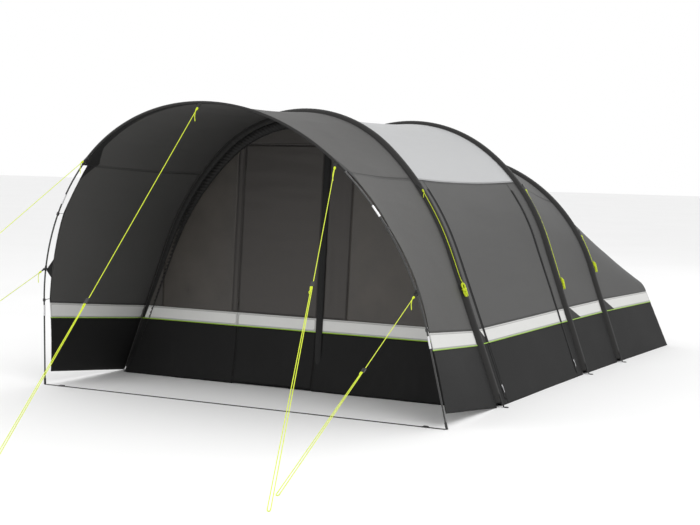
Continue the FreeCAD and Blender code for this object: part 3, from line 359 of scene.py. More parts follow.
FLY = (0.067, 0.0665, 0.0655)
FINISHES = {
    "fly": cloth_finish("fly cloth", FLY),
    "lining": cloth_finish("canopy cloth", (0.062, 0.061, 0.059)),
    "silver": cloth_finish("silver roof cloth", (0.40, 0.405, 0.41), rough=0.42, crease=0.0009,
                           hem=0.85, streak=0.05),
    "wall": cloth_finish("front wall cloth", (0.060, 0.0555, 0.052), crease=0.0016),
    "skirt": cloth_finish("mud skirt cloth", (0.0055, 0.0055, 0.0055), rough=0.75, crease=0.0022),
    "sleeve": cloth_finish("sleeve cloth", (0.017, 0.0165, 0.016), rough=0.58, crease=0.0014),
    "inner": cloth_finish("inner tent cloth", (0.30, 0.29, 0.27), rough=0.7, crease=0.0020),
}
print(len(FINISHES), "cloth finishes")

# %% [markdown]
# A guy line is a braided cord of a bright lime yellow, so that nobody trips over it. The braid is
# two crossed waves, fine enough to read only close by. Webbing has ribs across it, and hard plastic
# a faint mould grain.


# %% Cord, webbing, plastic, metal and film
def cord_finish(name, tone):
    f = Finish(name, Specular_IOR_Level=0.35, Sheen_Weight=0.25)
    spot = f.place()
    one = f.node("TexWave", {"bands_direction": "DIAGONAL"}, {"Vector": spot, "Scale": 90.0})
    two = f.node("TexWave", {"bands_direction": "DIAGONAL"},
                 {"Vector": f.place((1, -1, -1)), "Scale": 90.0})
    braid = one * two
    shade = f.colour(braid, [c * 0.72 for c in tone], tone)
    f.set(Base_Color=shade, Roughness=0.62 - braid * 0.12, Normal=f.relief(braid, 0.0004))
    return f.material


def webbing_finish(name, tone):
    f = Finish(name, Specular_IOR_Level=0.3)
    spot = f.place()
    rib = f.node("TexWave", {"bands_direction": "DIAGONAL"}, {"Vector": spot, "Scale": 160.0})
    dust = f.grain(spot, 30.0)
    shade = f.colour(rib * 0.5 + dust * 0.5, [c * 0.75 for c in tone], [c * 1.35 for c in tone])
    f.set(Base_Color=shade, Roughness=0.72 + dust * 0.1, Normal=f.relief(rib, 0.0004))
    return f.material


def hard_finish(name, tone, rough=0.4, metal=0.0, grain=0.00008, **extra):
    f = Finish(name, Metallic=metal, **extra)
    spot = f.place()
    fine, wide = f.grain(spot, 900.0), f.grain(spot, 25.0)
    shade = f.colour(wide, [c * 0.88 for c in tone], [c * 1.1 for c in tone])
    f.set(Base_Color=shade, Roughness=rough + (wide - 0.5) * 0.14, Normal=f.relief(fine, grain))
    return f.material


def film_finish(name, tone):
    """Tinted window film: smooth, mottled and partly clear."""
    f = Finish(name, Specular_IOR_Level=0.45)
    spot = f.place()
    cloud = f.grain(spot, 5.0, 5.0)
    speck = f.grain(spot, 240.0, 1.0)
    seam = f.node("Attribute", {"attribute_name": "seam"}, output="Fac")
    rim = (1 - seam * 6).sum("MAXIMUM", 0.0)
    mottle = (cloud - 0.3) * 0.9 + speck * 0.3 - rim * 0.4
    shade = f.colour(mottle, [c * 0.62 for c in tone], [c * 1.45 for c in tone])
    f.set(Base_Color=shade, Roughness=0.42 + cloud * 0.2, Alpha=0.80 + rim * 0.2,
          Normal=f.relief(cloud, 0.003))
    return f.material


FINISHES |= {
    "line": cord_finish("guy line braid", (0.80, 0.95, 0.012)),
    "piping": cord_finish("strip piping", (0.36, 0.66, 0.008)),
    "webbing": webbing_finish("black webbing", (0.020, 0.020, 0.020)),
    "zip": webbing_finish("zip tape", (0.012, 0.012, 0.012)),
    "plastic": hard_finish("moulded black plastic", (0.022, 0.022, 0.022)),
    "rod": hard_finish("lacquered glass fibre", (0.014, 0.014, 0.014), rough=0.22, Coat_Weight=0.4),
    "ferrule": hard_finish("drawn metal tube", (0.74, 0.74, 0.75), rough=0.28, metal=1.0),
    "slider": hard_finish("plated zip slider", (0.62, 0.62, 0.63), rough=0.25, metal=1.0),
    "bladder": hard_finish("air beam film", (0.55, 0.57, 0.58), rough=0.35),
    "floor": hard_finish("laminated groundsheet", (0.030, 0.030, 0.032), rough=0.45, grain=0.0002),
    "window": film_finish("tinted window film", (0.076, 0.0674, 0.0589)),
}
print(len(FINISHES), "finishes")

# %% [markdown]
# ## Guy lines
# A guy line runs taut from a tab on the canopy pole to a peg, turns round it and comes back to a
# flat runner that tightens it. Its curve is one NURBS spline through the model's own route. The long
# straight runs get one more point close to the peg, so that the turn stays small and the rest
# stays straight. The upper end is tied with a small knot whose tail hangs down.


# %% Cords
def cord(name, points, thickness, finish, body="root"):
    """A round cord along a smooth spline with these control points."""
    curve = bpy.data.curves.new(name, "CURVE")
    curve.dimensions, curve.resolution_u = "3D", 16
    curve.bevel_depth, curve.bevel_resolution, curve.use_fill_caps = thickness / 2, 2, True
    run = curve.splines.new("NURBS")
    run.points.add(len(points) - 1)
    for spot, point in zip(run.points, points):
        spot.co = (*point, 1)
    run.order_u, run.use_endpoint_u = 3, True
    piece = bpy.data.objects.new(name, curve)
    bpy.context.scene.collection.objects.link(piece)
    curve.materials.append(FINISHES[finish])
    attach(piece, body)
    return piece


def run_length(piece):
    """Length of a cord's middle line."""
    plain = piece.copy()
    plain.data = piece.data.copy()
    plain.data.bevel_depth = 0
    mesh = bpy.data.meshes.new_from_object(plain)
    length = sum((mesh.vertices[e.vertices[0]].co - mesh.vertices[e.vertices[1]].co).length
                 for e in mesh.edges)
    bpy.data.meshes.remove(mesh)
    curve = plain.data
    bpy.data.objects.remove(plain)
    bpy.data.curves.remove(curve)
    return length


def knot(name, at, along, tail=0.075):
    """Three close turns round the line, and a tail that hangs from them."""
    along = Vector(along).normalized()
    side = along.cross(Vector((0, 0, 1))).normalized()
    lift = side.cross(along)
    points = []
    for step in range(14):
        angle = step * math.pi / 2
        ring = side * math.cos(angle) + lift * math.sin(angle)
        points.append(at + along * (0.004 + step * 0.0012) + ring * 0.0062)
    end = points[-1]
    points += [end + side * 0.006 - Vector((0, 0, 0.02)),
               end + side * 0.011 - Vector((0, 0, tail * 0.6)),
               end + side * 0.007 - Vector((0, 0, tail))]
    return cord(name, points, LINE, "line")


LINE = 0.0045
STRAIGHT = 0.027
GUY_LINES = {
    "apex": ((0, -2.6384, 1.9073), (0.008, -4.5141, 0.0028), (-0.008, -4.5141, 0.0028),
             (-0.0015, -3.7396, 0.7891), 3.79),
    "right_high": ((0.9215, -2.5683, 1.5635), (1.6425, -4.4963, 0.0028), (1.6275, -4.5019, 0.0028),
                   (1.2094, -3.3558, 0.9277), 4.13),
    "left_high": ((-0.9215, -2.5683, 1.5635), (-1.6275, -4.5019, 0.0028),
                  (-1.6425, -4.4963, 0.0028), (-1.2149, -3.3538, 0.9277), 4.13),
    "right_low": ((1.3856, -2.4182, 0.8115), (1.5220, -4.2145, 0.0028), (1.5060, -4.2157, 0.0028),
                  (1.4380, -3.1904, 0.4641), 3.11),
    "left_low": ((-1.3856, -2.4182, 0.8115), (-1.5060, -4.2157, 0.0028),
                 (-1.5220, -4.2145, 0.0028), (-1.4435, -3.1900, 0.4641), 3.11),
}
for name, (tip, near, far, end, length) in GUY_LINES.items():
    tip, near, far, end = (Vector(spot) for spot in (tip, near, far, end))
    beside = near + (tip - near).normalized() * STRAIGHT
    returning = far + (end - far).normalized() * STRAIGHT
    line = cord("line_" + name, [tip, beside, near, far, returning, end], LINE, "line")
    tie = knot("knot_" + name, tip, near - tip)
    lower = knot("loop_" + name, end, far - end, 0.03)
    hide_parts("guy_line_" + name)
    parts["line_runner_" + name]
    print(name, "line", round(run_length(line), 3), "m")

# %% [markdown]
# Each beam has its own line, which is not pegged out: it hangs down the sleeve and is wound into a
# tied hank. The hank is more of the same cord, in long loops that fan out a little, and its last
# turns bind its waist. Loops of slightly different size keep it from looking machined.

# %% Stored lines and their hanks
TURN = math.radians(35)
STORED = {"front": (front, -TURN, 1.420, 0.820), "middle": (middle, TURN, 1.400, 0.740),
          "rear": (rear, TURN, 1.020, 0.820)}


def around(arch, height, lift, turn):
    """A point that far off a beam's sleeve, turned round the beam towards the back."""
    reach = SKIN + lift
    return arch.point(arch.station(height), SKIN - reach * math.cos(turn), reach * math.sin(turn))


def hank_points(arch, height, turn, loops=7):
    """Long loops on the sleeve, and two turns round their waist."""
    seat = around(arch, height, 0.0, turn)
    up = (around(arch, height + 0.01, 0.0, turn) - seat).normalized()
    out = (around(arch, height, 0.01, turn) - seat).normalized()
    side = up.cross(out)

    def at(across, down, away):
        return seat + side * across - up * down + out * away

    points = []
    for k in range(loops):
        half, away = 0.010 + 0.0022 * (k * 5 % 4), 0.0065 + 0.0021 * k
        top, low = 0.010 + 0.0045 * (k * 3 % 4), 0.108 - 0.006 * (k * 4 % 5)
        lean = 0.003 * math.sin(2.1 * k)
        points += [at(half + lean, top, away), at(half * 0.6, 0.058, away), at(half - lean, low, away),
                   at(-half - lean, low - 0.004, away), at(-half * 0.6, 0.058, away),
                   at(-half + lean, top + 0.003, away)]
    for k in range(2):
        down = 0.053 + 0.0055 * k
        points += [at(-0.015, down, 0.022), at(0.015, down, 0.022), at(0.0165, down, 0.012),
                   at(0.015, down, 0.0035), at(-0.015, down, 0.0035), at(-0.0165, down, 0.012)]
    points += [at(-0.012, 0.062, 0.0215), at(0.004, 0.068, 0.0215), at(0.012, 0.085, 0.021)]
    return points


for name, (arch, turn, tab, low) in STORED.items():
    heights = [tab + (low - tab) * share for share in (0, 0.23, 0.5, 0.76, 0.99)]
    run = [around(arch, height, 0.0042, turn) for height in heights]
    run += hank_points(arch, low - 0.002, turn)
    line = cord("own_line_" + name, run, LINE, "line")
    tie = knot("own_knot_" + name, run[0], run[1] - run[0], 0.05)
    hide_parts("stored_line_" + name, "line_hank_" + name)
    tuple(run[0])
    print(name, "own line", round(run_length(line), 3), "m")

# %% [markdown]
# ## Cloth panels
# A panel is sewn to a sleeve at each end and stretched between two arches. Cloth pulled between two
# curved edges sinks into a saddle, and tight cloth puckers along its seams and shows long ripples
# from arch to arch. A grid whose vertices are moved to the surface between the arches gives all
# that control. `cloth` makes the grid, its weave map, its seam attribute and its thickness.


# %% One sheet of cloth
def walk(points):
    return sum((b - a).length for a, b in zip(points, points[1:]))


def cloth(name, place, cells, finish, nodes, hangs, body="root", wall=0.0016, sewn="lrdu",
          facing=None, marks=None):
    """A grid moved to place(u, v); nodes are what it stands for."""
    made = bmesh.new()
    weave, seam = made.loops.layers.uv.new("weave"), made.verts.layers.float.new("seam")
    notes = {key: made.verts.layers.float.new(key) for key in (marks or {})}
    bmesh.ops.create_grid(made, x_segments=cells[0], y_segments=cells[1], size=0.5)
    steps = [k / 24 for k in range(25)]
    across = max(walk([place(u, v) for u in steps]) for v in (0.02, 0.5, 0.98))
    along = max(walk([place(u, v) for v in steps]) for u in (0.02, 0.5, 0.98))
    spots = {vert: (vert.co.x + 0.5, vert.co.y + 0.5) for vert in made.verts}
    for face in made.faces:
        for loop in face.loops:
            u, v = spots[loop.vert]
            loop[weave].uv = (u * across, v * along)
    for vert, (u, v) in spots.items():
        vert.co = place(u, v)
        gaps = {"l": u * across, "r": (1 - u) * across, "d": v * along, "u": (1 - v) * along}
        vert[seam] = min([gaps[side] for side in sewn], default=1.0)
        for key, layer in notes.items():
            vert[layer] = marks[key](vert.co)
    bmesh.ops.remove_doubles(made, verts=made.verts, dist=0.00002)
    made.normal_update()
    if facing == "top":
        push = max(made.faces, key=lambda face: face.calc_center_median().z).normal.z
    else:
        push = sum(face.normal.dot(facing or outward(face)) * face.calc_area() for face in made.faces)
    if push < 0:
        bmesh.ops.reverse_faces(made, faces=made.faces)
    area = sum(face.calc_area() for face in made.faces)
    piece = keep(name, made, finish, body)
    thick = piece.modifiers.new("thickness", "SOLIDIFY")
    thick.thickness, thick.offset = wall, -1
    along = min(along, area / 0.4 / across)
    cut = area if area < 0.97 * across * along else None
    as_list(hangs)
    if nodes:
        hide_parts(*nodes)
    return piece


def outward(face):
    """Away from the tent's middle line."""
    centre = face.calc_center_median()
    return Vector((centre.x, 0, centre.z - 0.5))


def keep(name, made, finish, body="root"):
    """Turns a finished bmesh into a smooth object that rides on a body."""
    mesh = bpy.data.meshes.new(name)
    made.to_mesh(mesh)
    made.free()
    mesh.shade_smooth()
    mesh.materials.append(FINISHES[finish])
    piece = bpy.data.objects.new(name, mesh)
    bpy.context.scene.collection.objects.link(piece)
    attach(piece, body)
    return piece


print("cloth helper ready")

# %% [markdown]
# A bay is the cloth between two arches. Its surface runs straight from one arch to the next and then
# sinks by the slack of the cloth. Slack and ripples depend only on the height and on the place in
# the bay, so a roof, a wall and a door that meet at a seam meet without a step.


# %% The five bays
UNDER = 0.028
BEAM_BACK = math.sqrt(SKIN ** 2 - (SKIN - UNDER - 0.002) ** 2) + 0.0005


def ease(value):
    value = max(0.0, min(1.0, value))
    return value * value * (3 - 2 * value)


class Bay:
    """Cloth from a first to a second arch; part runs from 0 to 1 along the whole bay."""

    def __init__(self, first, second, sag, first_back=BEAM_BACK, second_back=-BEAM_BACK,
                 first_depth=UNDER, ripple=0.0035, scallop=0.0, span=(0.0, 1.0)):
        self.first, self.second, self.sag, self.ripple = first, second, sag, ripple
        self.backs, self.depths = (first_back, second_back), (first_depth, UNDER)
        self.scallop, self.span = scallop, span

    def hem(self, height):
        """How far the free edge is drawn back between two clips."""
        for low, high in ((0.0, 0.62), (0.62, 1.235), (1.235, 1.575)):
            if low <= height < high:
                return self.scallop * math.sin(math.pi * (height - low) / (high - low))
        return 0.0

    def spot(self, stations, v, sink):
        height = self.first.local(stations[0])[1]
        first = self.first.point(stations[0], self.depths[0] + sink,
                                 self.backs[0] + self.hem(height))
        second = self.second.point(stations[1], self.depths[1] + sink, self.backs[1])
        return first.lerp(second, v)

    def sink(self, point, v):
        """Slack, long ripples and puckers by the seams, in metres under the straight surface."""
        part = self.span[0] + (self.span[1] - self.span[0]) * v
        loose = 4 * part * (1 - part)
        deep = self.sag * loose * ease((point.z - 0.15) / 1.1)
        wave = noise.noise(Vector((point.x * 6, point.y * 1.4, point.z * 6))) * self.ripple
        fine = noise.noise(Vector((point.x * 21, point.y * 5, point.z * 21))) * self.ripple * 0.3
        width = (self.second.place - self.first.place) * min(part, 1 - part) / max(
            self.span[1] - self.span[0], 0.05)
        pucker = 0.0011 * math.exp(-width / 0.05) * noise.noise(
            Vector((point.x * 38, 0, point.z * 38)))
        return deep + (wave + fine) * loose + pucker

    def place(self, lows, highs, sign=1):
        """place(u, v) for a zone; lows and highs are stations at the two arches."""
        def turned(station):
            return station if sign > 0 else 5 - station

        ends = [(turned(low), turned(high)) for low, high in zip(lows, highs)]

        def at(u, v):
            stations = [arch.share(*pair, u)
                        for arch, pair in zip((self.first, self.second), ends)]
            flat = self.spot(stations, v, 0.0)
            return self.spot(stations, v, self.sink(flat, v))
        return at

    def zone(self, low, high, sign=1):
        """A side zone between two heights, each one number or one for each arch."""
        lows, highs = (value if isinstance(value, tuple) else (value, value)
                       for value in (low, high))
        return self.place([arch.station(h) + UNDER * math.tan(arch.lean) / arch.leg
                           if h == 0 else arch.station(h)
                           for arch, h in zip((self.first, self.second), lows)],
                          [arch.station(h) for arch, h in zip((self.first, self.second), highs)],
                          sign)

    def roof(self, eaves):
        stations = [arch.station(eave) for arch, eave in zip((self.first, self.second), eaves)]
        return self.place(stations, [5 - station for station in stations])


DOOR_FRONT, DOOR_REAR = 0.150 / 1.760, 1 - 0.180 / 1.760
door_front = between(front, middle, DOOR_FRONT)
door_rear = between(front, middle, DOOR_REAR)
SLOT = 0.0008


def eave(share):
    return EAVES[front] + (EAVES[middle] - EAVES[front]) * share


LIVING_SAG = 0.030
BAYS = {
    "porch": Bay(hoop, front, 0.014, 0.044, first_depth=0.018, scallop=0.014),
    "fore": Bay(front, door_front, LIVING_SAG, second_back=-SLOT, span=(0, DOOR_FRONT)),
    "door": Bay(door_front, door_rear, LIVING_SAG, 0, 0, span=(DOOR_FRONT, DOOR_REAR)),
    "aft": Bay(door_rear, middle, LIVING_SAG, SLOT, span=(DOOR_REAR, 1)),
    "bedroom": Bay(middle, rear, 0.016),
    "foot": Bay(rear, back, 0.030, second_back=0.0),
}
ZONES = {name: (0, STRIP_LOW, STRIP_HIGH) for name in BAYS}
ZONES["porch"] = ((0.084, 0), (STRIP_LOW + 0.070, STRIP_LOW), (STRIP_HIGH + 0.085, STRIP_HIGH))


def under(heights, gap=0.0005):
    """The same heights, a hair lower, for the piece that ends there."""
    return tuple(h - gap for h in heights) if isinstance(heights, tuple) else heights - gap


WALL_EAVES = {
    "porch": (EAVES[hoop], EAVES[front]), "fore": (EAVES[front], eave(DOOR_FRONT)),
    "door": (eave(DOOR_FRONT) - SLOT, eave(DOOR_REAR) - SLOT),
    "aft": (eave(DOOR_REAR), EAVES[middle]), "bedroom": (EAVES[middle], EAVES[rear]),
    "foot": (EAVES[rear], EAVES[back]),
}
print("bays", list(BAYS))

# %% [markdown]
# ## Roofs and side walls
# Only the middle roof is silver, to throw back the sun; the others are the same grey as the walls.
# Each roof is one sheet from eave to eave, which is how it is cut, and each wall hangs from it.

# %% Roofs
def pole_binding(point):
    """Positive on the black binding beside the canopy pole, wider at its two ends."""
    along = point.y - hoop.place + point.z * math.tan(hoop.tilt)
    corner = max(0.0, 1 - abs(point.z - EAVES[hoop] * math.cos(hoop.tilt)) / 0.11)
    return 0.055 + 0.075 * corner - along


porch_roof = Bay(hoop, front, 0.014, 0.006, first_depth=0.0125)
living = Bay(front, middle, LIVING_SAG)
ROOFS = {
    "canopy_roof": (porch_roof, (EAVES[hoop], EAVES[front]), (150, 54), "lining", "pole_sleeve"),
    "living_roof": (living, (EAVES[front], EAVES[middle]), (150, 100), "silver", "beam_sleeve_front"),
    "bedroom_roof": (BAYS["bedroom"], (EAVES[middle], EAVES[rear]), (150, 48), "fly",
                     "beam_sleeve_middle"),
    "rear_roof": (BAYS["foot"], (EAVES[rear], EAVES[back]), (160, 72), "fly", "beam_sleeve_rear"),
}
for node, (bay, eaves, cells, finish, hangs) in ROOFS.items():
    marks = {"binding": pole_binding} if bay is porch_roof else None
    roof = cloth(node + "_cloth", bay.roof(eaves), cells, finish, [node], [hangs], marks=marks)
    print(node, [round(side, 2) for side in roof.dimensions])

# %% Walls
WALLS = [("porch", "canopy_walls", (78, 54), "lining", "front"),
         ("fore", "living_walls", (84, 10), "fly", "front"),
         ("aft", "living_walls", (84, 12), "fly", "middle"),
         ("bedroom", "bedroom_walls", (78, 48), "fly", "middle"),
         ("foot", "bedroom_walls", (60, 72), "fly", "rear")]
SIDES = (("right", 1), ("left", -1))
for bay_name, node, cells, finish, beam in WALLS:
    for side, sign in SIDES:
        top = tuple(height - 0.001 for height in WALL_EAVES[bay_name])
        place = BAYS[bay_name].zone(ZONES[bay_name][2], top, sign)
        marks = {"binding": pole_binding} if bay_name == "porch" else None
        cloth("%s_wall_%s" % (bay_name, side), place, cells, finish, [node],
              ["beam_sleeve_" + beam], marks=marks)
print(len(WALLS) * 2, "wall panels")

# %% [markdown]
# ## The light strip and the skirt
# A pale strip with a lime piping under it runs round the whole tent, and a black skirt keeps mud off
# the walls. Behind each beam a black gusset crosses the strip. It is drawn by the finish from an
# attribute that says how far a point lies behind the gusset's slanting edge, which keeps the strip
# one sheet, as it is sewn.


# %% Strip finish and gussets
FINISHES["strip"] = cloth_finish("pale strip cloth", (0.62, 0.62, 0.605), rough=0.55, crease=0.0010,
                                 hem=0.8, streak=0.06, gusset=True)
GUSSETS = {"fore": (front, 0.10), "bedroom": (middle, 0.20), "foot": (rear, 0.19)}


def gusset_mark(bay_name):
    """Distance behind the slanting edge of a bay's gusset; none gives 1."""
    if bay_name not in GUSSETS:
        return lambda point: 1.0
    arch, width = GUSSETS[bay_name]
    return lambda point: (point.y - arch.place - SKIN
                          - width * (STRIP_HIGH + 0.01 - point.z) / (STRIP_HIGH - STRIP_LOW))


def piping(name, place, body="root"):
    """A lime piping along the lower edge of a strip."""
    points = [place(0.0, k / 10) for k in range(11)]
    edge = cord(name, points, 0.007, "piping", body)
    return edge


# %% Strips and skirts of the sides
for bay_name, bay in BAYS.items():
    for side, sign in SIDES:
        body = "side_door_" + side if bay_name == "door" else "root"
        nodes = [body] if bay_name == "door" else ["light_strips"]
        hangs = ["beam_sleeve_middle"]
        cells = {"fore": 12, "aft": 12, "door": 80}.get(bay_name, 60)
        hem, foot, high = ZONES[bay_name]
        place = bay.zone(foot, under(high), sign)
        strip = cloth("%s_strip_%s" % (bay_name, side), place, (8, cells), "strip", nodes, hangs,
                      body, marks={"gusset": gusset_mark(bay_name)})
        piping("%s_piping_%s" % (bay_name, side), place, body)
        nodes = [body] if bay_name == "door" else ["skirts"]
        place = bay.zone(hem, under(foot), sign)
        cloth("%s_skirt_%s" % (bay_name, side), place, (28, cells), "skirt", nodes, hangs, body)
print("strips and skirts for", len(BAYS), "bays on both sides")

# %% Side doors
for side, sign in SIDES:
    top = tuple(height - 0.001 for height in WALL_EAVES["door"])
    place = BAYS["door"].zone(STRIP_HIGH, top, sign)
    cloth("door_panel_" + side, place, (84, 96), "fly", ["side_door_" + side],
          ["living_roof_cloth"], "side_door_" + side)
print("side doors done")

# %% [markdown]
# ## Side zips
# A side door opens with a zip down each edge. The tape is a narrow strip that lies on the fixed panel
# beside the door, and the coil is a thin black ridge on the door's very edge. Both follow the same
# surface as the panels, a hair further out.

# %% Zip tapes and coils
TAPE = 0.024 / 1.760
for label, share, other in (("front", DOOR_FRONT, DOOR_FRONT - TAPE),
                            ("rear", DOOR_REAR, DOOR_REAR + TAPE)):
    low, high = min(share, other), max(share, other)
    tape = Bay(between(front, middle, low), between(front, middle, high), LIVING_SAG, 0, 0,
               span=(low, high))
    tape.depths = (UNDER - 0.0022, UNDER - 0.0022)
    for side, sign in SIDES:
        place = tape.zone(0.040, eave(share) - 0.060, sign)
        cloth("zip_tape_%s_%s" % (side, label), place, (70, 4), "zip", ["zip_tapes"],
              ["fore_wall_" + side], wall=0.0011)
        edge = 1.0 if label == "front" else 0.0
        cord("zip_coil_%s_%s" % (side, label),
             [place(k / 30, edge) for k in range(31)], 0.006, "zip")
print("four side zips")

# %% [markdown]
# Two small black triangles reach from the canopy's edge to the pole, where the low guy lines pull,
# and a gathered band closes the corner between the front beam and the front wall. The band is longer
# than the corner it fills, so it stands in slanting pleats.

# %% Corner pieces
def pull_corner(sign):
    """place(u, v) from the canopy's edge to a point on the pole."""
    def at(u, v):
        height = 0.835 + (u - 0.5) * 0.13 * (1 - 0.9 * v)
        station = hoop.station(height)
        hem = 0.044 + BAYS["porch"].hem(height)
        place = hoop.point(station, 0.018 - 0.010 * v, hem + (0.011 - hem) * v)
        return Vector((sign * place.x, place.y, place.z))
    return at


for side, sign in SIDES:
    cloth("pull_corner_" + side, pull_corner(sign), (10, 8), "webbing", [], ["porch_wall_" + side],
          wall=0.0012)


def gathered(u, v):
    """A band from the front beam's inner side to the front wall, in slanting pleats."""
    station = 0.06 + 4.88 * u
    on_beam = front.point(station, 0.072, -0.036)
    on_wall = plate.point(station, 0.135, -0.006)
    run = front.length_to(station)
    wave = math.sin(2 * math.pi * (run + 0.05 * v) / 0.031 + 2 * noise.noise(Vector((run * 5, v, 2))))
    swell = 0.0055 * wave * (0.35 + 0.65 * math.sin(math.pi * v))
    return on_beam.lerp(on_wall, v) + Vector((0, -1, 0)) * (swell + 0.012 * math.sin(math.pi * v))


# %% [markdown]
# ## The front wall
# The front wall hangs from the crown of the front beam and slopes forward to the ground. It is sewn
# from flat pieces: two tinted windows, plain bands, a door on the left and a strip of cloth beside
# the zip. A helper fills a part of the arch between two widths and two heights; its top follows the
# arch where the piece reaches it. The cloth is loose here, so the door shows small level wrinkles.

# %% Pieces of an end wall
SLOPE = math.radians(3.9)
plate = Arch(front.half_width, front.height / math.cos(SLOPE), 20.8, front.leg, 42,
             front.place - front.height * math.tan(SLOPE), -3.9)
WALL_DEPTH = (2 * SKIN + 0.0003) / math.cos(SLOPE)


def level_wrinkles(x, z):
    return (noise.noise(Vector((x * 2.2, 7, z * 15))) * 0.0035
            + noise.noise(Vector((x * 1.1, 3, z * 4))) * 0.006)


def slack_film(x, z):
    return noise.noise(Vector((x * 3.1, 1, z * 2.2))) * 0.006


def upright_folds(x, z):
    return noise.noise(Vector((x * 22, 5, z * 1.4))) * 0.004 + level_wrinkles(x, z) * 0.5


def trailing(x, z):
    """A skirt that stands forward and wrinkles where it meets the ground."""
    low = 1 - z / STRIP_LOW
    return (-0.030 * ease(low) ** 2 + noise.noise(Vector((x * 6, 2, z * 5))) * 0.012 * low
            + noise.noise(Vector((x * 19, 2, z * 9))) * 0.004 * low)


def end_wall(arch, depth, left, right, low, high, shape, lift=0.0):
    """place(u, v) for one piece of a wall that fills an arch."""
    limit = arch.half_at(low, depth) if low else arch.half_width - depth / math.cos(arch.lean)
    left, right = max(left, -limit), min(right, limit)

    def at(u, v):
        x = left + (right - left) * u
        top = max(low, min(high, arch.height_at(x, depth)))
        z = low + (top - low) * v
        edge = min(1.0, (arch.height_at(x, depth) - z) / 0.12) if top < high else 1.0
        return arch.put(x, z, shape(x, z) * max(0.0, edge) + lift)
    return at


cloth("gathered_band", gathered, (900, 8), "sleeve", [], ["beam_sleeve_front"], wall=0.0010,
      facing=Vector((0, -1, 0)))
DOOR_LEFT, DOOR_RIGHT, DOOR_TOP = -0.472, 0.168, 1.700
FLAP_RIGHT, BAND_RIGHT, PANE, SEAM = DOOR_RIGHT + 0.052, 0.400, 1.120, DOOR_LEFT - 0.050
TOP, WIDE = 1.954, 3.0
FRONT_PIECES = [
    ("wall_far_left", -WIDE, -PANE - 0.0005, STRIP_HIGH, TOP, level_wrinkles, "wall", "front_wall"),
    ("wall_left_seam", SEAM, DOOR_LEFT - SLOT, STRIP_HIGH, DOOR_TOP, upright_folds, "wall",
     "front_wall"),
    ("wall_over_door", SEAM, BAND_RIGHT - 0.0005, DOOR_TOP + SLOT, TOP, level_wrinkles, "wall",
     "front_wall"),
    ("wall_zip_side", DOOR_RIGHT + SLOT, BAND_RIGHT - 0.0005, STRIP_HIGH, DOOR_TOP, upright_folds,
     "wall", "front_wall"),
    ("wall_far_right", PANE + 0.0005, WIDE, STRIP_HIGH, TOP, level_wrinkles, "wall", "front_wall"),
    ("window_left", -PANE, SEAM - 0.0005, STRIP_HIGH, TOP, slack_film, "window", "front_windows"),
    ("window_right", BAND_RIGHT, PANE, STRIP_HIGH, TOP, slack_film, "window", "front_windows"),
    ("front_strip_left", -WIDE, DOOR_LEFT - SLOT, STRIP_LOW, STRIP_HIGH - 0.0005, slack_film,
     "strip", "light_strips"),
    ("front_strip_right", DOOR_RIGHT + SLOT, WIDE, STRIP_LOW, STRIP_HIGH - 0.0005, slack_film,
     "strip", "light_strips"),
    ("front_skirt_left", -WIDE, DOOR_LEFT - SLOT, 0.001, STRIP_LOW - 0.0005, trailing, "skirt",
     "skirts"),
    ("front_skirt_right", DOOR_RIGHT + SLOT, WIDE, 0.001, STRIP_LOW - 0.0005, trailing, "skirt",
     "skirts"),
    ("front_door_panel", DOOR_LEFT, DOOR_RIGHT, STRIP_HIGH, DOOR_TOP, level_wrinkles, "wall",
     "front_door"),
    ("front_door_strip", DOOR_LEFT, DOOR_RIGHT, STRIP_LOW, STRIP_HIGH - 0.0005, slack_film, "strip",
     "front_door"),
    ("front_door_skirt", DOOR_LEFT, DOOR_RIGHT, 0.012, STRIP_LOW - 0.0005, trailing, "skirt",
     "front_door"),
]
FORWARD = Vector((0, -1, 0))
for name, left, right, low, high, shape, finish, node in FRONT_PIECES:
    width = min(right, 1.4) - max(left, -1.4)
    cells = (max(8, int(width / 0.014)), max(8, int((high - low) / 0.014)))
    place = end_wall(plate, WALL_DEPTH, left, right, low, high, shape)
    body = "front_door" if node == "front_door" else "root"
    marks = {"gusset": lambda point: 1.0} if finish == "strip" else None
    cloth(name, place, cells, finish, [node], ["beam_sleeve_front"], body, facing=FORWARD,
          marks=marks)
    if finish == "strip":
        cord(name + "_piping", [place(k / 16, 0.0) for k in range(17)], 0.007, "piping", body)
print(len(FRONT_PIECES), "pieces in the front wall")

# %% Flap over the front zip
flap_place = end_wall(plate, WALL_DEPTH, DOOR_RIGHT + SLOT, FLAP_RIGHT, 0.030, DOOR_TOP,
                      lambda x, z: -0.006 * math.sin(math.pi * (x - DOOR_RIGHT) / 0.052)
                      + noise.noise(Vector((x * 9, 4, z * 7))) * 0.002, lift=-0.0052)
cloth("front_zip_flap", flap_place, (8, 110), "zip", ["zip_tapes"], ["wall_zip_side"],
      facing=FORWARD)
print("zip flap")

# %% [markdown]
# ## The back wall
# Behind the bedroom the roof comes down to a low back wall, which leans forward. It has the same
# three zones as the sides.

# %% Back wall
back_depth = UNDER + 0.0025
for name, low, high, finish, node in (
        ("back_wall", STRIP_HIGH, back.height, "fly", "bedroom_walls"),
        ("back_strip", STRIP_LOW, STRIP_HIGH - 0.0005, "strip", "light_strips"),
        ("back_skirt", 0.001, STRIP_LOW - 0.0005, "skirt", "skirts")):
    place = end_wall(back, back_depth, -WIDE, WIDE, low, high,
                     lambda x, z: slack_film(x, z) * min(1, (0.7 - z) / 0.1) - 0.001)
    cloth(name, place, (150, 24), finish, [node], ["rear_roof_cloth"], facing=Vector((0, 1, 0)),
          marks={"gusset": lambda point: 1.0} if finish == "strip" else None)
    if finish == "strip":
        cord("back_piping", [place(k / 16, 0.0) for k in range(17)], 0.007, "piping")
print("back wall")

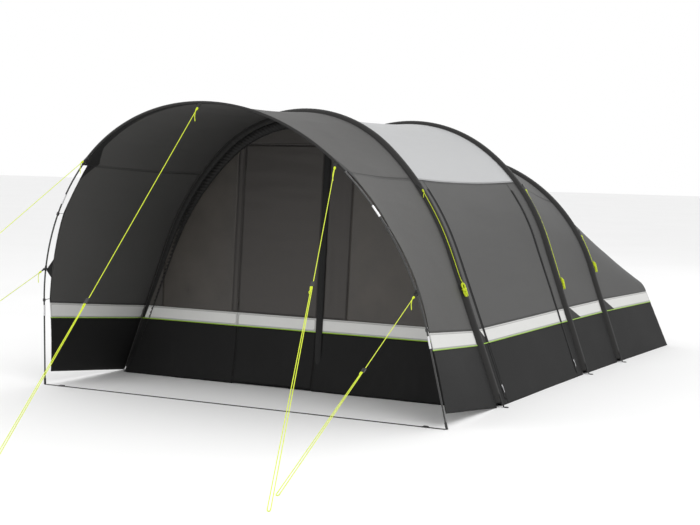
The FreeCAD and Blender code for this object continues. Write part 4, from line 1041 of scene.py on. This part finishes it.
# %% [markdown]
# ## Beam sleeves
# An air beam is a straight tube of cloth round a bladder. Bent into an arch, the sleeve has too much
# length on the inner side of the bend, so it gathers there in pleats and stays smooth outside. A
# grid wrapped round the arch lets the radius dip in a row of uneven waves that fade towards the
# outside.


# %% Sleeves
def sleeve(arch, radius, depth, start, end, pleat, pitch=0.034):
    """place(u, v) round an arch, v going once round."""
    def at(u, v):
        station, turn = arch.share(start, end, u), 2 * math.pi * v
        run = arch.length_to(station)
        inner = 0.5 - 0.5 * math.cos(turn)
        drift = noise.noise(Vector((run * 4, math.cos(turn) * 0.8, arch.place)))
        fold = 0.5 + 0.5 * math.sin(2 * math.pi * run / pitch + 4.2 * drift + 1.5 * math.sin(turn))
        dip = pleat * (0.10 + 0.90 * inner ** 1.5) * fold ** 1.6
        reach = radius - dip
        return arch.point(station, depth - reach * math.cos(turn), reach * math.sin(turn))
    return at


for name, arch in (("front", front), ("middle", middle), ("rear", rear)):
    low = 2 * SKIN * math.tan(arch.lean) / arch.leg + 0.003 / arch.leg
    place = sleeve(arch, SKIN, SKIN, low, 5 - low, 0.0060)
    bladder = sleeve(arch, SKIN - 0.0085, SKIN, low + 0.01, 4.99 - low, 0.0)
    cloth("bladder_" + name, bladder, (160, 16), "bladder", ["air_beam_" + name], [], wall=0.0010,
          sewn="", facing="top")
    cloth("sleeve_" + name, place, (540, 28), "sleeve", ["beam_sleeve_" + name],
          ["bladder_" + name], wall=0.0012, sewn="", facing="top")
    print("sleeve", name)

start = hoop.station(EAVES[hoop])
place = sleeve(hoop, 0.0085, 0.0065, start, 5 - start, 0.0008, 0.05)
cloth("pole_sleeve_cloth", place, (240, 14), "sleeve", ["pole_sleeve"], ["pole_sections"],
      wall=0.0009, sewn="", facing="top")
print("pole sleeve")

# %% [markdown]
# ## Inside: the bedroom and the floor
# The inner tent hangs under the fly from the middle beam to the back. It is thin, breathable and
# slack, with its own floor and a door in its front. The groundsheet covers the whole floor.

# %% Inner tent
inner_back = Arch(back.half_width - 0.150, 0.560, 19.5, 0.400, 5, back.place - 0.190, 14)
INSET, START, INNER_LOW = 0.140, 0.075, 0.0063
fore_room = Bay(middle, rear, 0.030, START + 0.0025, -0.0005, INSET, ripple=0.012)
aft_room = Bay(rear, inner_back, 0.035, 0.0005, -0.0005, INSET, ripple=0.012)
fore_room.depths, aft_room.depths = (INSET, INSET), (INSET, 0.0)
for name, room, cells in (("inner_fore", fore_room, (150, 30)), ("inner_aft", aft_room, (150, 40))):
    lows = [arch.station(INNER_LOW) + depth * math.tan(arch.lean) / arch.leg
            for arch, depth in zip((room.first, room.second), room.depths)]
    place = room.place(lows, [5 - low for low in lows])
    cloth(name, place, cells, "inner", ["inner_tent"], ["beam_sleeve_middle"], wall=0.0008)


def slack_inner(x, z):
    return noise.noise(Vector((x * 4, 8, z * 1.6))) * 0.012


place = end_wall(inner_back, 0.0, -WIDE, WIDE, INNER_LOW + 0.002, 0.558,
                 lambda x, z: slack_inner(x, z) * min(1, (0.56 - z) / 0.1))
cloth("inner_end", place, (110, 24), "inner", ["inner_tent"], ["inner_aft"], wall=0.0008,
      facing=Vector((0, 1, 0)))
inner_arch = Arch(middle.half_width, middle.height, 19.6, middle.leg, 35.7,
                  middle.place + START)
HALF, SILL, LINTEL = 0.430, 0.120, 1.350
for name, left, right, low, high, node in (
        ("inner_left", -WIDE, -HALF - SLOT, INNER_LOW, LINTEL, "inner_front"),
        ("inner_right", HALF + SLOT, WIDE, INNER_LOW, LINTEL, "inner_front"),
        ("inner_sill", -HALF, HALF, INNER_LOW, SILL - SLOT, "inner_front"),
        ("inner_over", -WIDE, WIDE, LINTEL + 0.0005, TOP, "inner_front"),
        ("inner_door_cloth", -HALF, HALF, SILL, LINTEL, "inner_door")):
    place = end_wall(inner_arch, INSET, left, right, low, high, slack_inner)
    cloth(name, place, (60, 50), "inner", [node], ["beam_sleeve_middle"],
          "inner_door" if node == "inner_door" else "root", wall=0.0008, facing=FORWARD)
print("inner tent")

# %% Floors
ROWS = [(plate.place + 0.003, 1.527), (front.place, 1.527), (middle.place, 1.537),
        (rear.place, 1.557), (back.place - 0.012, 1.605)]


def half_at(y):
    for (first, low), (last, high) in zip(ROWS, ROWS[1:]):
        if y <= last:
            return low + (high - low) * (y - first) / (last - first)
    return ROWS[-1][1]


def floor_place(first, last, inset, height):
    def at(u, v):
        y = first + (last - first) * v
        x = (2 * u - 1) * (half_at(y) - inset)
        return Vector((x, y, height + 0.0008 * noise.noise(Vector((x * 3, y * 3, 0)))))
    return at


inset = 0.118 / math.cos(front.lean)
cloth("groundsheet_cloth", floor_place(ROWS[0][0], ROWS[-1][0], inset, 0.0022), (60, 90), "floor",
      ["groundsheet"], [], wall=0.0014, facing=Vector((0, 0, 1)))
cloth("inner_floor", floor_place(middle.place + START + 0.003, inner_back.place - 0.003,
                                 INSET / math.cos(middle.lean) + 0.02, 0.0052), (50, 50), "floor",
      ["inner_tent"], ["groundsheet_cloth"], wall=0.0012, facing=Vector((0, 0, 1)))
print("floors")

# %% [markdown]
# ## Hard pieces and webbing
# Poles, ferrules, zip sliders, valves and runners are already right in the model, so they only get
# their finishes. A frame node is given a finish through its material slots.

# %% Finishes for the model's own pieces
OWN = {
    "air_beam": "bladder", "beam_valves": "plastic", "valve_cap": "plastic", "pole_sections": "rod",
    "pole_ferrules": "ferrule", "pole_feet": "plastic", "pole_clips": "plastic",
    "zip_slider": "slider", "guy_tabs": "webbing", "peg_loops": "webbing", "ground_strap": "webbing",
    "strap_buckle": "plastic", "line_runner": "plastic",
}
count = 0
for node, piece in parts.items():
    for start_of_name, finish in OWN.items():
        if node.startswith(start_of_name):
            piece.data.materials.clear()
            piece.data.materials.append(FINISHES[finish])
            count += 1
print(count, "model pieces finished")

# %% [markdown]
# ## Floor, light and the end
# A large pale floor and three soft lights show the tent as in a studio: a high key from the front
# right, a wide fill from the left and one from behind, so that the silver roof stays brightest.


# %% Stage and lights
def soft_light(name, at, target, size, power):
    lamp = bpy.data.lights.new(name, "AREA")
    lamp.size, lamp.energy = size, power
    piece = bpy.data.objects.new(name, lamp)
    piece.location = at
    piece.rotation_euler = (Vector(target) - Vector(at)).to_track_quat("-Z", "Y").to_euler()
    bpy.context.scene.collection.objects.link(piece)


pale = Finish("pale floor", Specular_IOR_Level=0.1)
pale.set(Base_Color=pale.colour(pale.grain(pale.place(), 0.6), (0.86, 0.86, 0.86), (0.9, 0.9, 0.9)),
         Roughness=0.9)
ground = bmesh.new()
bmesh.ops.create_grid(ground, x_segments=4, y_segments=4, size=60)
mesh = bpy.data.meshes.new("ground")
ground.to_mesh(mesh)
ground.free()
floor = bpy.data.objects.new("ground", mesh)
mesh.materials.append(pale.material)
floor.location.z = 0
bpy.context.scene.collection.objects.link(floor)
soft_light("key", (7, -7, 8), (0, 0, 0.8), 5, 330)
soft_light("fill", (-6, -9, 4), (0, -1, 0.8), 7, 250)
soft_light("rim", (4, 9, 8), (0, 1, 1), 6, 150)
world = bpy.data.worlds.new("studio")
world.use_nodes = True
sky = next(n for n in world.node_tree.nodes if n.type == "BACKGROUND")
sky.inputs["Color"].default_value = (1, 1, 1, 1)
sky.inputs["Strength"].default_value = 1.0
bpy.context.scene.world = world
bpy.context.scene.view_settings.view_transform = "Standard"
print("stage set")
